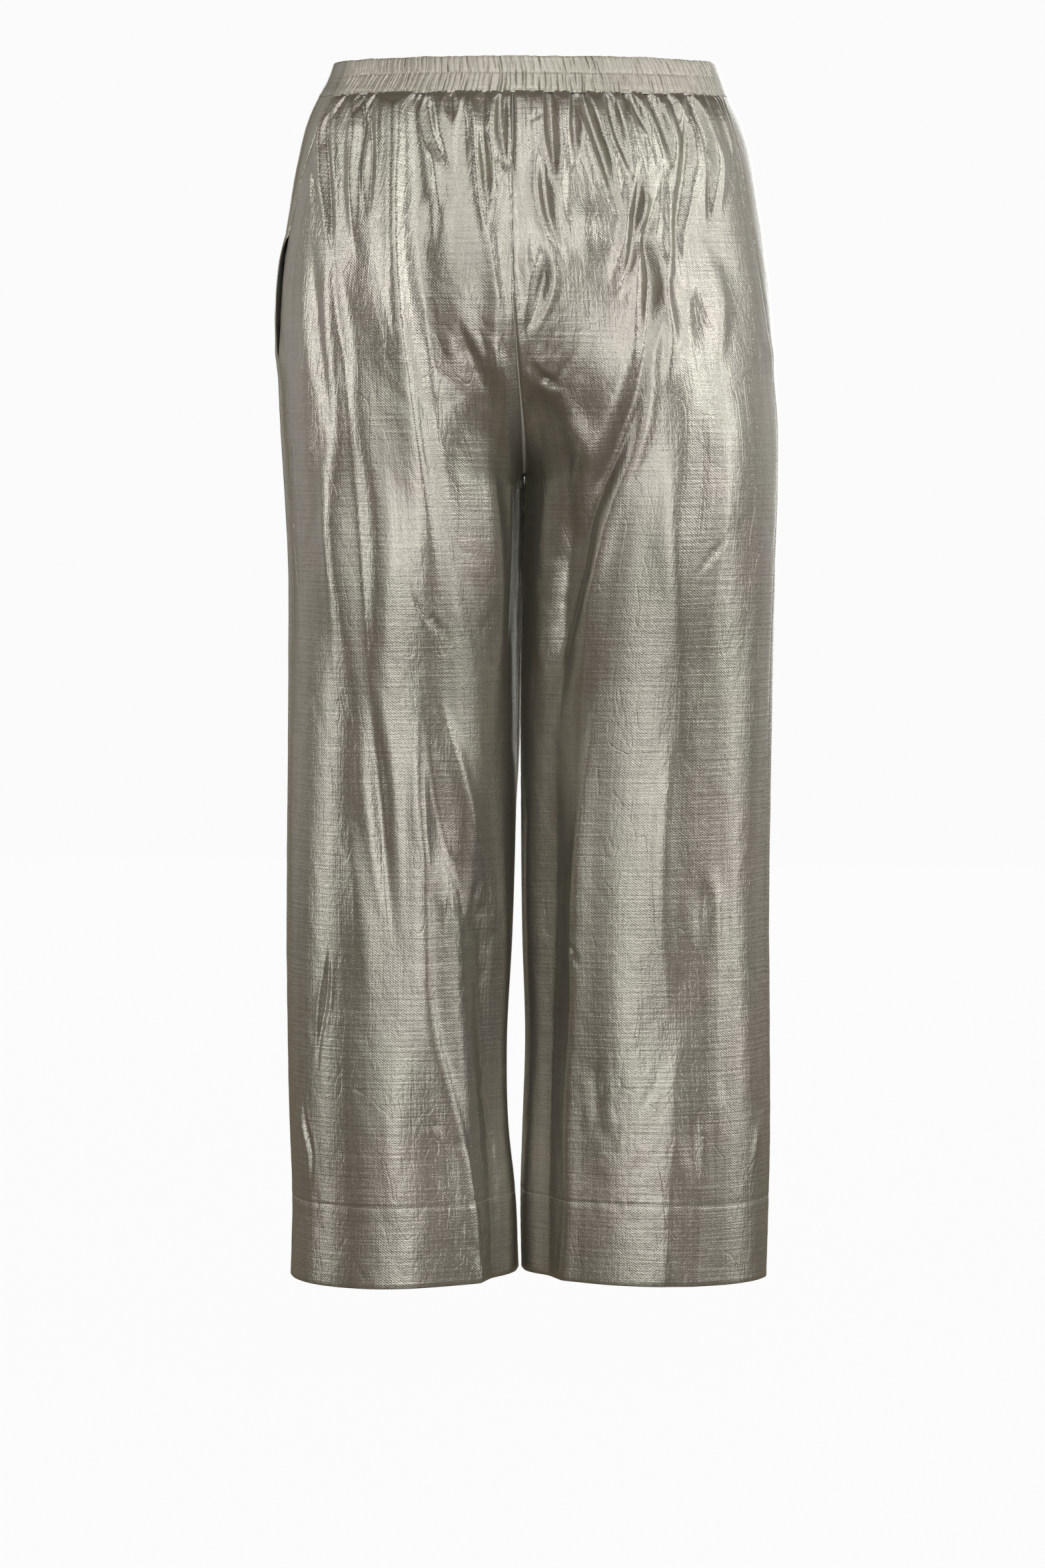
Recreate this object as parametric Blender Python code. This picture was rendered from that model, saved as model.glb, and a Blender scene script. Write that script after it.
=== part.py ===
"""Straight pants with a gathered elastic back and a flat front, hollow, in their worn shape.

Sizes are in millimetres and are turned to metres where a mesh is made. The front faces -Y, the
garment's left is +X, and the origin is the middle of the waist at half the waistband's height.
A drop is a distance below the waist seam. A share runs from the centre or inside seam, 0, to the
side seam, 1.
"""

import math
from collections import namedtuple
from functools import lru_cache

import bmesh
import bpy
import numpy as np

MM = 0.001

BAND_HEIGHT = 26.0
BAND_LOWER_CHANNEL = 14.0
BAND_RIBS = 72
RIB_HEIGHT = 1.7
RIB_COLUMNS = 3
ELASTIC_WALL = 3.0
FLAT_BAND_WALL = 2.4

CLOTH = 1.4
SEAM_GAP = 0.3
SEAT_DROP = 107.0
CROTCH_DROP = 292.0
THIGH_TOP = 90.0
THIGH_FOOT = 400.0
THIGH_SHARE = 0.35
HEM_DROP = 907.0
HEM_DEPTH = 62.0
HEM_TURN_UP = 1.0
HEM_GROOVE = 0.8
INSEAM_LIFT = 7.0

POCKET_TOP = 60.0
POCKET_FOOT = 200.0
POCKET_REACH = 104.0
POCKET_SAG = 62.0
POCKET_WALL = 1.0
POCKET_HOLLOW = 8.0
POCKET_CLEAR = 1.6
POCKET_SEWN = 0.4
POCKET_MOUTH_LAP = 4.0
POCKET_SET_BACK = 6.0
POCKET_MOUTH_FADE = 12.0
POCKET_POINTS = 16
POCKET_REACHES = [0.0, 14.0, 34.0, 58.0, 80.0, 96.0, POCKET_REACH]
GAPE_TOP = 104.0
GAPE = 9.0
GAPE_FRONT_SHARE = 0.75
GAPE_BULGE = 3.0
TACK_BULGE = 1.6

LEFT, RIGHT = 1, -1
BACK, FRONT = 1, -1

OLIVE_SILK = (0.335, 0.315, 0.245)
POCKETING = (0.30, 0.285, 0.225)

# left and right: how far the side stands from the centre plane. middle: where the centre seam lies.
# gap: the space between the two legs. back and front: half depths. lean: how much deeper the left
# leg is than the mean, and the right one shallower. left_seam and right_seam: how far behind the
# widest line the side seams run. edge: 1 for a round side, more for one pressed to a crease.
Section = namedtuple("Section", "drop left right middle gap back front lean left_seam right_seam edge")
SECTIONS = [
    Section(-27, 142.3, 150.2, 5.5, 0.3, 96, 102, 0.00, 40, 26, 1.00),
    Section(-14, 147.0, 154.8, 5.5, 0.3, 99, 105, 0.00, 42, 27, 1.00),
    Section(0, 154.5, 160.0, 5.5, 0.3, 103, 108, 0.00, 43, 29, 1.00),
    Section(17, 162.0, 168.0, 5.5, 0.3, 109, 112, 0.00, 42, 35, 1.00),
    Section(47, 170.0, 177.0, 5.5, 0.3, 117, 116, 0.00, 37, 38, 1.00),
    Section(87, 177.0, 183.5, 5.5, 0.3, 126, 119, 0.00, 29, 40, 1.00),
    Section(128, 182.5, 189.5, 5.0, 0.3, 132, 119, 0.00, 22, 40, 1.00),
    Section(170, 184.8, 193.8, 3.5, 0.3, 135, 117, 0.00, 19, 36, 1.00),
    Section(211, 184.2, 196.2, 1.0, 0.4, 134, 114, 0.00, 19, 31, 1.00),
    Section(252, 182.5, 199.0, -2.5, 0.5, 129, 111, 0.01, 20, 28, 1.01),
    Section(292, 180.0, 199.0, -3.5, 0.8, 121, 108, 0.02, 21, 26, 1.02),
    Section(354, 177.0, 197.0, -2.5, 1.2, 110, 103, 0.04, 21, 25, 1.04),
    Section(435, 177.0, 194.8, -0.5, 2.0, 98, 97, 0.05, 18, 22, 1.06),
    Section(540, 178.5, 193.0, 1.0, 3.6, 88, 92, 0.06, 14, 18, 1.08),
    Section(640, 179.4, 192.4, 2.0, 7.5, 82, 88, 0.07, 11, 14, 1.10),
    Section(724, 178.6, 193.3, 3.0, 14.0, 79, 85, 0.08, 8, 10, 1.12),
    Section(790, 177.7, 194.0, 3.5, 11.0, 77, 82, 0.08, 5, 6, 1.14),
    Section(850, 176.0, 193.0, 1.5, 3.6, 76, 80, 0.08, 3, 3, 1.16),
    Section(907, 177.5, 191.5, 0.0, 2.0, 75, 78, 0.08, 2, 2, 1.18),
]
BAND_TOP_DROP = SECTIONS[0].drop

# A fold runs from its top to its foot. across is measured from the centre line, outwards. width is
# how far it reaches to each side, more at the foot by the spread. A trough has a depth below 0 and
# a ridge above 0. The inner side of a fold is steeper where steep is over 1.
Fold = namedtuple("Fold", "top_across top_drop foot_across foot_drop width spread depth steep")
BACK_FOLDS = {
    LEFT: [
        Fold(24, 0, 12, 110, 4, 4, -4.5, 1.0),
        Fold(38, 0, 30, 210, 5, 10, -7.0, 1.8),
        Fold(50, 0, 46, 60, 4, 3, -3.5, 1.0),
        Fold(62, 0, 52, 80, 4, 4, -4.0, 1.0),
        Fold(78, 0, 88, 330, 6, 16, -8.0, 0.6),
        Fold(90, 0, 104, 90, 5, 5, 3.0, 1.0),
        Fold(98, 0, 99, 70, 4, 4, -4.0, 1.0),
        Fold(110, 0, 112, 110, 5, 8, -4.5, 1.0),
        Fold(121, 0, 122, 60, 4, 4, -3.5, 1.0),
        Fold(133, 0, 146, 280, 5, 12, -6.0, 1.0),
        Fold(144, 0, 160, 120, 4, 8, -4.0, 1.0),
        Fold(142, 190, 96, 720, 8, 16, -9.0, 1.0),
        Fold(88, 210, 30, 520, 9, 16, -8.0, 0.7),
        Fold(94, 150, 66, 420, 7, 14, 5.0, 1.0),
        Fold(80, 500, 42, 905, 14, 20, 6.0, 1.0),
        Fold(100, 440, 78, 860, 10, 14, -5.0, 1.0),
        Fold(146, 640, 166, 830, 6, 8, -5.0, 1.0),
    ],
    RIGHT: [
        Fold(22, 0, 26, 130, 5, 6, -6.0, 0.6),
        Fold(32, 0, 34, 60, 4, 3, -3.5, 1.0),
        Fold(41, 0, 37, 95, 4, 4, -5.0, 1.0),
        Fold(47, 0, 76, 190, 5, 9, -6.5, 1.0),
        Fold(64, 0, 84, 120, 4, 6, -5.5, 1.0),
        Fold(76, 0, 92, 70, 4, 4, -4.5, 1.0),
        Fold(89, 0, 102, 80, 4, 6, -5.0, 1.0),
        Fold(104, 0, 124, 90, 4, 6, -5.0, 1.0),
        Fold(118, 0, 130, 60, 4, 4, -4.5, 1.0),
        Fold(128, 0, 142, 220, 6, 10, -7.5, 1.4),
        Fold(144, 0, 168, 150, 4, 10, -5.0, 1.0),
        Fold(88, 100, 64, 230, 7, 8, -6.0, 1.0),
        Fold(98, 110, 44, 400, 8, 18, -11.0, 0.6),
        Fold(104, 60, 108, 300, 10, 16, 4.0, 1.0),
        Fold(124, 190, 92, 600, 12, 24, 6.0, 1.0),
        Fold(84, 480, 96, 905, 14, 16, 5.0, 1.0),
        Fold(150, 430, 140, 880, 12, 16, -5.0, 1.0),
        Fold(34, 240, 52, 620, 8, 14, -6.0, 1.0),
    ],
}
# The front hangs flat from its waistband, with a few drapes off the thighs.
FRONT_FOLDS = {
    LEFT: [
        Fold(24, 60, 30, 300, 10, 10, -4.0, 1.0),
        Fold(92, 120, 104, 420, 12, 18, 4.0, 1.0),
        Fold(118, 230, 56, 620, 10, 22, -8.0, 0.7),
        Fold(84, 380, 92, 900, 12, 18, 5.5, 1.0),
        Fold(146, 500, 130, 860, 10, 14, -6.0, 1.0),
    ],
    RIGHT: [
        Fold(22, 70, 26, 310, 10, 10, -4.0, 1.0),
        Fold(100, 140, 96, 430, 12, 18, 4.0, 1.0),
        Fold(128, 250, 60, 600, 10, 22, -8.0, 0.7),
        Fold(104, 400, 98, 900, 12, 18, 5.0, 1.0),
        Fold(158, 480, 148, 860, 10, 14, -6.0, 1.0),
    ],
}
FOLDS = {BACK: BACK_FOLDS, FRONT: FRONT_FOLDS}

GATHER_PUFF = 3.2
GATHER_PUFF_DROP = 24.0
SEAM_QUIET = 9.0
CENTRE_QUIET = 5.0
INSEAM_QUIET = 26.0

GATHER_ROWS = [0, 5, 12, 22, 36, 54, 78]
GATHER_COLUMNS = 52
PANEL_COLUMNS = 20
SEAT_ROWS = 7
LEG_ROWS = 11
FINE_SHARES = np.linspace(0, 1, 241)


def wall_z(drop):
    return -BAND_HEIGHT / 2 - SEAM_GAP - drop


def smooth_step(x):
    x = np.clip(x, 0, 1)
    return x * x * (3 - 2 * x)


@lru_cache(maxsize=None)
def section_curve(column):
    """One column of the sections, with the slope at each drop."""
    drops = np.array([s.drop for s in SECTIONS], float)
    sizes = np.array([getattr(s, column) for s in SECTIONS], float)
    return drops, sizes, np.gradient(sizes, drops)


def size_at(column, drop):
    """A smooth curve through one column of the sections."""
    drops, sizes, slopes = section_curve(column)
    i = np.clip(np.searchsorted(drops, drop) - 1, 0, len(drops) - 2)
    span = drops[i + 1] - drops[i]
    t = (np.asarray(drop, float) - drops[i]) / span
    start = (2 * t**3 - 3 * t**2 + 1) * sizes[i] + (t**3 - 2 * t**2 + t) * span * slopes[i]
    end = (3 * t**2 - 2 * t**3) * sizes[i + 1] + (t**3 - t**2) * span * slopes[i + 1]
    return start + end


def leg_share(share, drop):
    """0 for the trunk's form and 1 for a leg's. The centre seam turns under along a quarter circle."""
    reach = np.clip((np.asarray(drop, float) - SEAT_DROP) / (CROTCH_DROP - SEAT_DROP), 0, 1)
    at_seam = 1 - np.sqrt(1 - reach**2)
    outwards = smooth_step((np.asarray(drop, float) - THIGH_TOP) / (THIGH_FOOT - THIGH_TOP))
    return at_seam + (outwards - at_seam) * smooth_step(np.asarray(share, float) / THIGH_SHARE)


def form_point(side, face, share, drop):
    """The plain outside form, before folds."""
    share, drop = np.broadcast_arrays(np.asarray(share, float), np.asarray(drop, float))
    half_gap = size_at("gap", drop) / 2
    inner = size_at("middle", drop) + side * half_gap
    outer = side * size_at("left" if side == LEFT else "right", drop)
    depth_share = 1 + side * size_at("lean", drop)
    back = size_at("back", drop) * depth_share
    front = size_at("front", drop) * depth_share
    edge = size_at("edge", drop)
    seam_turn = np.arcsin(size_at("left_seam" if side == LEFT else "right_seam", drop) / back)

    def arc(centre, half_width, start):
        turn = start + (seam_turn - start) * share
        rise = np.sin(turn)
        depth = np.where(rise > 0, back, -front)
        return centre + half_width * np.cos(turn), depth * np.abs(rise) ** edge

    trunk_x, trunk_y = arc(inner, outer - inner, face * math.pi / 2)
    leg_x, leg_y = arc((inner + outer) / 2, (outer - inner) / 2, face * math.pi)
    t = leg_share(share, drop)
    hem_lift = INSEAM_LIFT * (1 - share) ** 2 * smooth_step((drop - HEM_DROP + 200) / 200)
    x = (1 - t) * trunk_x + t * leg_x
    y = (1 - t) * trunk_y + t * leg_y
    return np.stack([x, y, wall_z(drop) + hem_lift], axis=-1)


def form_normal(side, face, share, drop):
    """The outward direction of the plain form."""
    step_share, step_drop = 0.004, 1.0
    along = form_point(side, face, share + step_share, drop) - form_point(side, face, share - step_share, drop)
    low = np.clip(np.asarray(drop, float) + step_drop, BAND_TOP_DROP, HEM_DROP)
    high = np.clip(np.asarray(drop, float) - step_drop, BAND_TOP_DROP, HEM_DROP)
    down = form_point(side, face, share, low) - form_point(side, face, share, high)
    normal = np.cross(along, down) * side * face
    return normal / np.linalg.norm(normal, axis=-1, keepdims=True)


@lru_cache(maxsize=None)
def level_line(side, face, drop):
    """A panel's length around at one drop, and how far out it stands at each of the fine shares."""
    line = form_point(side, face, FINE_SHARES, np.full_like(FINE_SHARES, drop))
    girth = float(np.linalg.norm(np.diff(line, axis=0), axis=1).sum())
    return girth, np.maximum.accumulate(side * line[:, 0])


def fold_height(side, face, share, drop):
    """How far the folds move the level line at one drop, outwards."""
    girth, reaches = level_line(side, face, drop)
    height = np.zeros_like(share)
    for fold in FOLDS[face][side]:
        along = (drop - fold.top_drop) / (fold.foot_drop - fold.top_drop)
        if not 0 <= along <= 1:
            continue
        across = fold.top_across + (fold.foot_across - fold.top_across) * along
        away = (share - np.interp(across, reaches, FINE_SHARES)) * girth
        width = fold.width + fold.spread * along
        reach = np.where(away < 0, width / math.sqrt(fold.steep), width * math.sqrt(fold.steep))
        rise = smooth_step(along / 0.12) if fold.top_drop else 0.35 + 0.65 * smooth_step(along / 0.12)
        fade = 1 - smooth_step((along - 0.45) / 0.55)
        height = height + fold.depth * rise * fade * np.exp(-((away / reach) ** 2))
    if face == BACK:
        height = height + GATHER_PUFF * smooth_step(drop / 10) * (1 - smooth_step((drop - 10) / GATHER_PUFF_DROP / 3))
    from_side = (1 - share) * girth
    from_centre = share * girth
    centre_quiet = CENTRE_QUIET + (INSEAM_QUIET - CENTRE_QUIET) * float(leg_share(0, drop))
    return height * smooth_step(from_side / SEAM_QUIET) * smooth_step(from_centre / centre_quiet)


def gape_at(side, drop):
    """How far the left pocket's mouth stands open."""
    if side == RIGHT:
        return 0.0
    along = (drop - GAPE_TOP) / (POCKET_FOOT - GAPE_TOP)
    return GAPE * math.sin(math.pi * along**0.8) ** 0.8 if 0 < along < 1 else 0.0


def side_height(side, face, share, drop, girth):
    """The pocket's lifted edge and the small lump at its lower tack."""
    from_side = (1 - share) * girth
    lifted = GAPE_BULGE * gape_at(side, drop) / GAPE if face == FRONT else 0.0
    tack = TACK_BULGE * math.exp(-(((drop - POCKET_FOOT + 3) / 12) ** 2))
    return (lifted + tack) * np.exp(-((from_side / 16) ** 2))


def hem_height(drop):
    """The stitched groove at the top of the turned-up hem."""
    return -HEM_GROOVE * math.exp(-(((HEM_DROP - HEM_DEPTH - drop) / 3) ** 2))


def panel_line(side, face, shares, drop):
    """One level line of a panel: its outside and inside points."""
    girth = level_line(side, face, drop)[0]
    gape = gape_at(side, drop) * (GAPE_FRONT_SHARE if face == FRONT else 1 - GAPE_FRONT_SHARE)
    first = float(leg_share(0, drop)) * SEAM_GAP / 2 / girth
    last = 1 - (SEAM_GAP / 2 + gape) / girth
    shares = first + (last - first) * shares
    drops = np.full_like(shares, drop)
    normal = form_normal(side, face, shares, drops)
    height = fold_height(side, face, shares, drop)
    height = height + side_height(side, face, shares, drop, girth) + hem_height(drop)
    outside = form_point(side, face, shares, drops) + normal * height[:, None]
    middle, half_gap = size_at("middle", drop), size_at("gap", drop) / 2
    outside[:, 0] = side * np.maximum(side * (outside[:, 0] - middle), half_gap) + middle
    wall = CLOTH + (HEM_TURN_UP if drop > HEM_DROP - HEM_DEPTH else 0)
    return outside, outside - normal * wall


def panel_drops():
    """The drops of the level lines, closer where the form changes faster."""
    reach = CROTCH_DROP - SEAT_DROP
    seat = [SEAT_DROP + reach * math.sin(math.pi / 2 * i / SEAT_ROWS) for i in range(SEAT_ROWS + 1)]
    hem_top = HEM_DROP - HEM_DEPTH
    legs = list(np.linspace(CROTCH_DROP, hem_top - 6, LEG_ROWS + 1))[1:]
    return GATHER_ROWS + seat + legs + [hem_top, hem_top + 3, HEM_DROP - 24, HEM_DROP]


def zip_lines(bm, upper, lower, shares_upper, shares_lower):
    """Faces between two lines that may have different numbers of points."""
    i = j = 0
    while i < len(upper) - 1 or j < len(lower) - 1:
        step_both = len(upper) == len(lower)
        if step_both:
            bm.faces.new([upper[i], upper[i + 1], lower[j + 1], lower[j]])
            i, j = i + 1, j + 1
            continue
        next_upper = shares_upper[i + 1] if i < len(upper) - 1 else 2
        next_lower = shares_lower[j + 1] if j < len(lower) - 1 else 2
        if next_upper <= next_lower:
            bm.faces.new([upper[i], upper[i + 1], lower[j]])
            i += 1
        else:
            bm.faces.new([upper[i], lower[j + 1], lower[j]])
            j += 1


def object_from(bm, name, material):
    """Closes the bmesh into one object with its faces pointing out."""
    bmesh.ops.recalc_face_normals(bm, faces=bm.faces)
    if bm.calc_volume(signed=True) < 0:
        bmesh.ops.reverse_faces(bm, faces=bm.faces)
    bmesh.ops.scale(bm, vec=(MM, MM, MM), verts=bm.verts)
    mesh = bpy.data.meshes.new(name)
    bm.to_mesh(mesh)
    bm.free()
    mesh.materials.append(material)
    mesh.shade_smooth()
    mesh.set_sharp_from_angle(angle=math.radians(50))
    made = bpy.data.objects.new(name, mesh)
    garment.objects.link(made)
    return made


def add_panel(name, side, face, material):
    """A leg panel from the waist seam to the hem, as a closed wall."""
    bm = bmesh.new()
    outer_lines, inner_lines, share_lines = [], [], []
    for drop in panel_drops():
        gathered = face == BACK and drop in GATHER_ROWS
        shares = np.linspace(0, 1, (GATHER_COLUMNS if gathered else PANEL_COLUMNS) + 1)
        outside, inside = panel_line(side, face, shares, drop)
        outer_lines.append([bm.verts.new(p) for p in outside])
        inner_lines.append([bm.verts.new(p) for p in inside])
        share_lines.append(shares)
    for lines in (outer_lines, inner_lines):
        for upper, lower, a, b in zip(lines, lines[1:], share_lines, share_lines[1:]):
            zip_lines(bm, upper, lower, a, b)
    for outer, inner in ((outer_lines[0], inner_lines[0]), (outer_lines[-1], inner_lines[-1])):
        for i in range(len(outer) - 1):
            bm.faces.new([outer[i], outer[i + 1], inner[i + 1], inner[i]])
    for i in range(len(outer_lines) - 1):
        for end in (0, -1):
            corners = [outer_lines[i][end], outer_lines[i + 1][end], inner_lines[i + 1][end], inner_lines[i][end]]
            bm.faces.new(corners)
    return object_from(bm, name, material)


def band_point(side, face, share, height, out):
    """A point of the waistband, so far out from the form that it shares with the panels."""
    share = np.array([share])
    drop = np.array([-SEAM_GAP - BAND_HEIGHT / 2 - height])
    level = form_normal(side, face, share, drop)[0] * (1, 1, 0)
    return form_point(side, face, share, drop)[0] + level / np.linalg.norm(level) * out


def rib_height(column, channel):
    """The gathers of one elastic channel, the lower channel half a rib on."""
    phase = 2 * math.pi * column / RIB_COLUMNS + math.pi * channel
    uneven = 1 + 0.35 * math.sin(1.7 * column + 2.1 * channel) * math.cos(0.61 * column)
    return RIB_HEIGHT * (0.5 + 0.5 * math.cos(phase)) * uneven


def band_profile(face, column):
    """The waistband's closed section, as heights and distances out from its inner face."""
    top, foot = BAND_HEIGHT / 2, -BAND_HEIGHT / 2
    groove = foot + BAND_LOWER_CHANNEL
    if face == FRONT:
        out = FLAT_BAND_WALL
        return [(top, 0.0), (top, out), (groove, out), (foot, out), (foot, 0.0), (groove, 0.0)]
    upper, lower = rib_height(column, 0), rib_height(column, 1)
    wall = ELASTIC_WALL
    return [
        (top, 0.0),
        (top, wall - 0.6 + 0.4 * upper),
        ((top + groove) / 2, wall + 0.6 + upper),
        (groove + 1.2, wall + 0.3 * upper),
        (groove - 1.2, wall + 0.3 * lower),
        ((foot + groove) / 2, wall + 0.8 + lower),
        (foot, wall - 0.6 + 0.4 * lower),
        (foot, 0.0),
        (groove, 0.0),
    ]


def add_waistband(name, face, columns, material):
    """One half of the waistband, from the left side seam around to the right one."""
    bm = bmesh.new()
    inward = ELASTIC_WALL if face == BACK else FLAT_BAND_WALL
    rings = []
    for column in range(columns + 1):
        across = 1 - 2 * column / columns
        side = LEFT if across >= 0 else RIGHT
        share = abs(across) * (1 - SEAM_GAP / 2 / level_line(side, face, 0.0)[0])
        section = band_profile(face, column)
        rings.append([bm.verts.new(band_point(side, face, share, height, out - inward)) for height, out in section])
    for a, b in zip(rings, rings[1:]):
        for i in range(len(a)):
            j = (i + 1) % len(a)
            bm.faces.new([a[i], b[i], b[j], a[j]])
    bm.faces.new(rings[0])
    bm.faces.new(list(reversed(rings[-1])))
    return object_from(bm, name, material)


def pocket_ring(reach, thick):
    """One loop across a pocket bag: drop, inwards from its middle, and share of the bag's inner layer."""
    along = reach / POCKET_REACH
    bag = smooth_step(along / 0.35)
    top = POCKET_TOP + 4 + 6 * bag
    foot = POCKET_FOOT - 4 + POCKET_SAG * bag
    narrowing = math.sqrt(max(0.0, 1 - max(0.0, (along - 0.75) / 0.26) ** 2))
    middle = (top + foot) / 2
    half = (foot - top) / 2 * (0.35 + 0.65 * narrowing) + thick
    hollow = POCKET_HOLLOW / 2 * (0.45 + 0.55 * narrowing)
    loop = []
    for i in range(POCKET_POINTS):
        turn = 2 * math.pi * i / POCKET_POINTS
        flat = math.sin(turn)
        inward = math.copysign(min(1.0, abs(flat) * 2.2), flat) * hollow + thick * flat
        loop.append((middle - half * math.cos(turn), inward, 0.5 + 0.5 * flat))
    return loop


def pocket_point(side, reach, drop, inward, inner_layer):
    """A point of the bag. Its mouth is sewn to the front panel and laps under the back panel's edge."""
    mouth = max(0.0, 1 - reach / POCKET_MOUTH_FADE)
    opened = max(POCKET_SET_BACK, GAPE_FRONT_SHARE * gape_at(side, drop))
    reach = reach + mouth * ((1 - inner_layer) * opened - inner_layer * POCKET_MOUTH_LAP)
    share = np.array([1 - (SEAM_GAP + reach) / level_line(side, FRONT, drop)[0]])
    drop = np.array([drop])
    dip = np.minimum(fold_height(side, FRONT, share, float(drop[0])), 0)[0]
    clear = POCKET_CLEAR + (POCKET_SEWN - POCKET_CLEAR) * mouth
    depth = CLOTH + clear + POCKET_WALL + POCKET_HOLLOW / 2 + inward
    return form_point(side, FRONT, share, drop)[0] + form_normal(side, FRONT, share, drop)[0] * (dip - depth)


def add_pocket(name, side, material):
    """A pocket bag: a flat pouch inside the front panel, open along the side seam."""
    bm = bmesh.new()
    outer_rings, inner_rings = [], []
    for reach in POCKET_REACHES:
        inner_reach = min(reach, POCKET_REACH - POCKET_WALL)
        outer_rings.append([bm.verts.new(pocket_point(side, reach, *p)) for p in pocket_ring(reach, POCKET_WALL)])
        inner_rings.append([bm.verts.new(pocket_point(side, inner_reach, *p)) for p in pocket_ring(reach, 0.0)])
    for rings in (outer_rings, inner_rings):
        for a, b in zip(rings, rings[1:]):
            for i in range(POCKET_POINTS):
                j = (i + 1) % POCKET_POINTS
                bm.faces.new([a[i], b[i], b[j], a[j]])
        bm.faces.new(rings[-1])
    for i in range(POCKET_POINTS):
        j = (i + 1) % POCKET_POINTS
        bm.faces.new([outer_rings[0][i], outer_rings[0][j], inner_rings[0][j], inner_rings[0][i]])
    return object_from(bm, name, material)


def cloth_material(name, colour, roughness, metallic):
    """A Principled BSDF in one colour."""
    material = bpy.data.materials.new(name)
    material.use_nodes = True
    shader = material.node_tree.nodes["Principled BSDF"]
    shader.inputs["Base Color"].default_value = (*colour, 1.0)
    shader.inputs["Roughness"].default_value = roughness
    shader.inputs["Metallic"].default_value = metallic
    return material


for old in list(bpy.data.objects):
    bpy.data.objects.remove(old)
garment = bpy.data.collections.new("straight_pants")
bpy.context.scene.collection.children.link(garment)

silk = cloth_material("olive_silk", OLIVE_SILK, 0.4, 0.25)
pocketing = cloth_material("pocketing", POCKETING, 0.7, 0.0)

for side, word in ((LEFT, "left"), (RIGHT, "right")):
    add_panel(f"back_{word}", side, BACK, silk)
    add_panel(f"front_{word}", side, FRONT, silk)
    add_pocket(f"pocket_{word}", side, pocketing)
add_waistband("waistband_back", BACK, BAND_RIBS * RIB_COLUMNS, silk)
add_waistband("waistband_front", FRONT, 40, silk)
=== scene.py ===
"""Straight pants in sage and taupe silk satin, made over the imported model.

Sizes in the tables are in millimetres, as in the part's source, and are turned to metres where a
mesh is made. The front faces -Y, the garment's left is +X, and the origin is the middle of the
waist. A drop is a distance below the waist seam. A share runs from the centre or inside seam, 0, to
the side seam, 1. Across is a distance out from the centre line, and along is the same distance
measured over the cloth. The photograph shows the back.
"""

import math
from collections import namedtuple
from functools import lru_cache

import bmesh
import bpy
import numpy as np
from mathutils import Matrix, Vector


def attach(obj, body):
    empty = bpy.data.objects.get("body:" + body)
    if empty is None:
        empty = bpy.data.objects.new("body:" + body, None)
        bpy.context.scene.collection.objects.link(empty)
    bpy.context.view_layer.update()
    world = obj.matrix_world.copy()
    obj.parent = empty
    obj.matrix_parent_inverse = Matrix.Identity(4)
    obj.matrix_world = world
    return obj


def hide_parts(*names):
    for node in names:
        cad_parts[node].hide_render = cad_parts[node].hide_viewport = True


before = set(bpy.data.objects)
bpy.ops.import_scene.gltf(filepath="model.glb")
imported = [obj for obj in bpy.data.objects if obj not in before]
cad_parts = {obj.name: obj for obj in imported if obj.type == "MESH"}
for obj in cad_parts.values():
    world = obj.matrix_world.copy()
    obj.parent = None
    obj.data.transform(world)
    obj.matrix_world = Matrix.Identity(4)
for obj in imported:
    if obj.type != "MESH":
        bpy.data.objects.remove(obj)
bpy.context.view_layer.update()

MM = 0.001
LEFT, RIGHT = 1, -1
BACK, FRONT = 1, -1

# The cut, as in the part's source.
BAND_HEIGHT = 26.0
BAND_LOWER_CHANNEL = 14.0
ELASTIC_WALL = 3.0
FLAT_BAND_WALL = 2.4
SEAM_GAP = 0.3
SEAT_DROP = 107.0
CROTCH_DROP = 292.0
THIGH_TOP = 90.0
THIGH_FOOT = 400.0
THIGH_SHARE = 0.35
HEM_DROP = 907.0
HEM_DEPTH = 62.0
INSEAM_LIFT = 7.0

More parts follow.
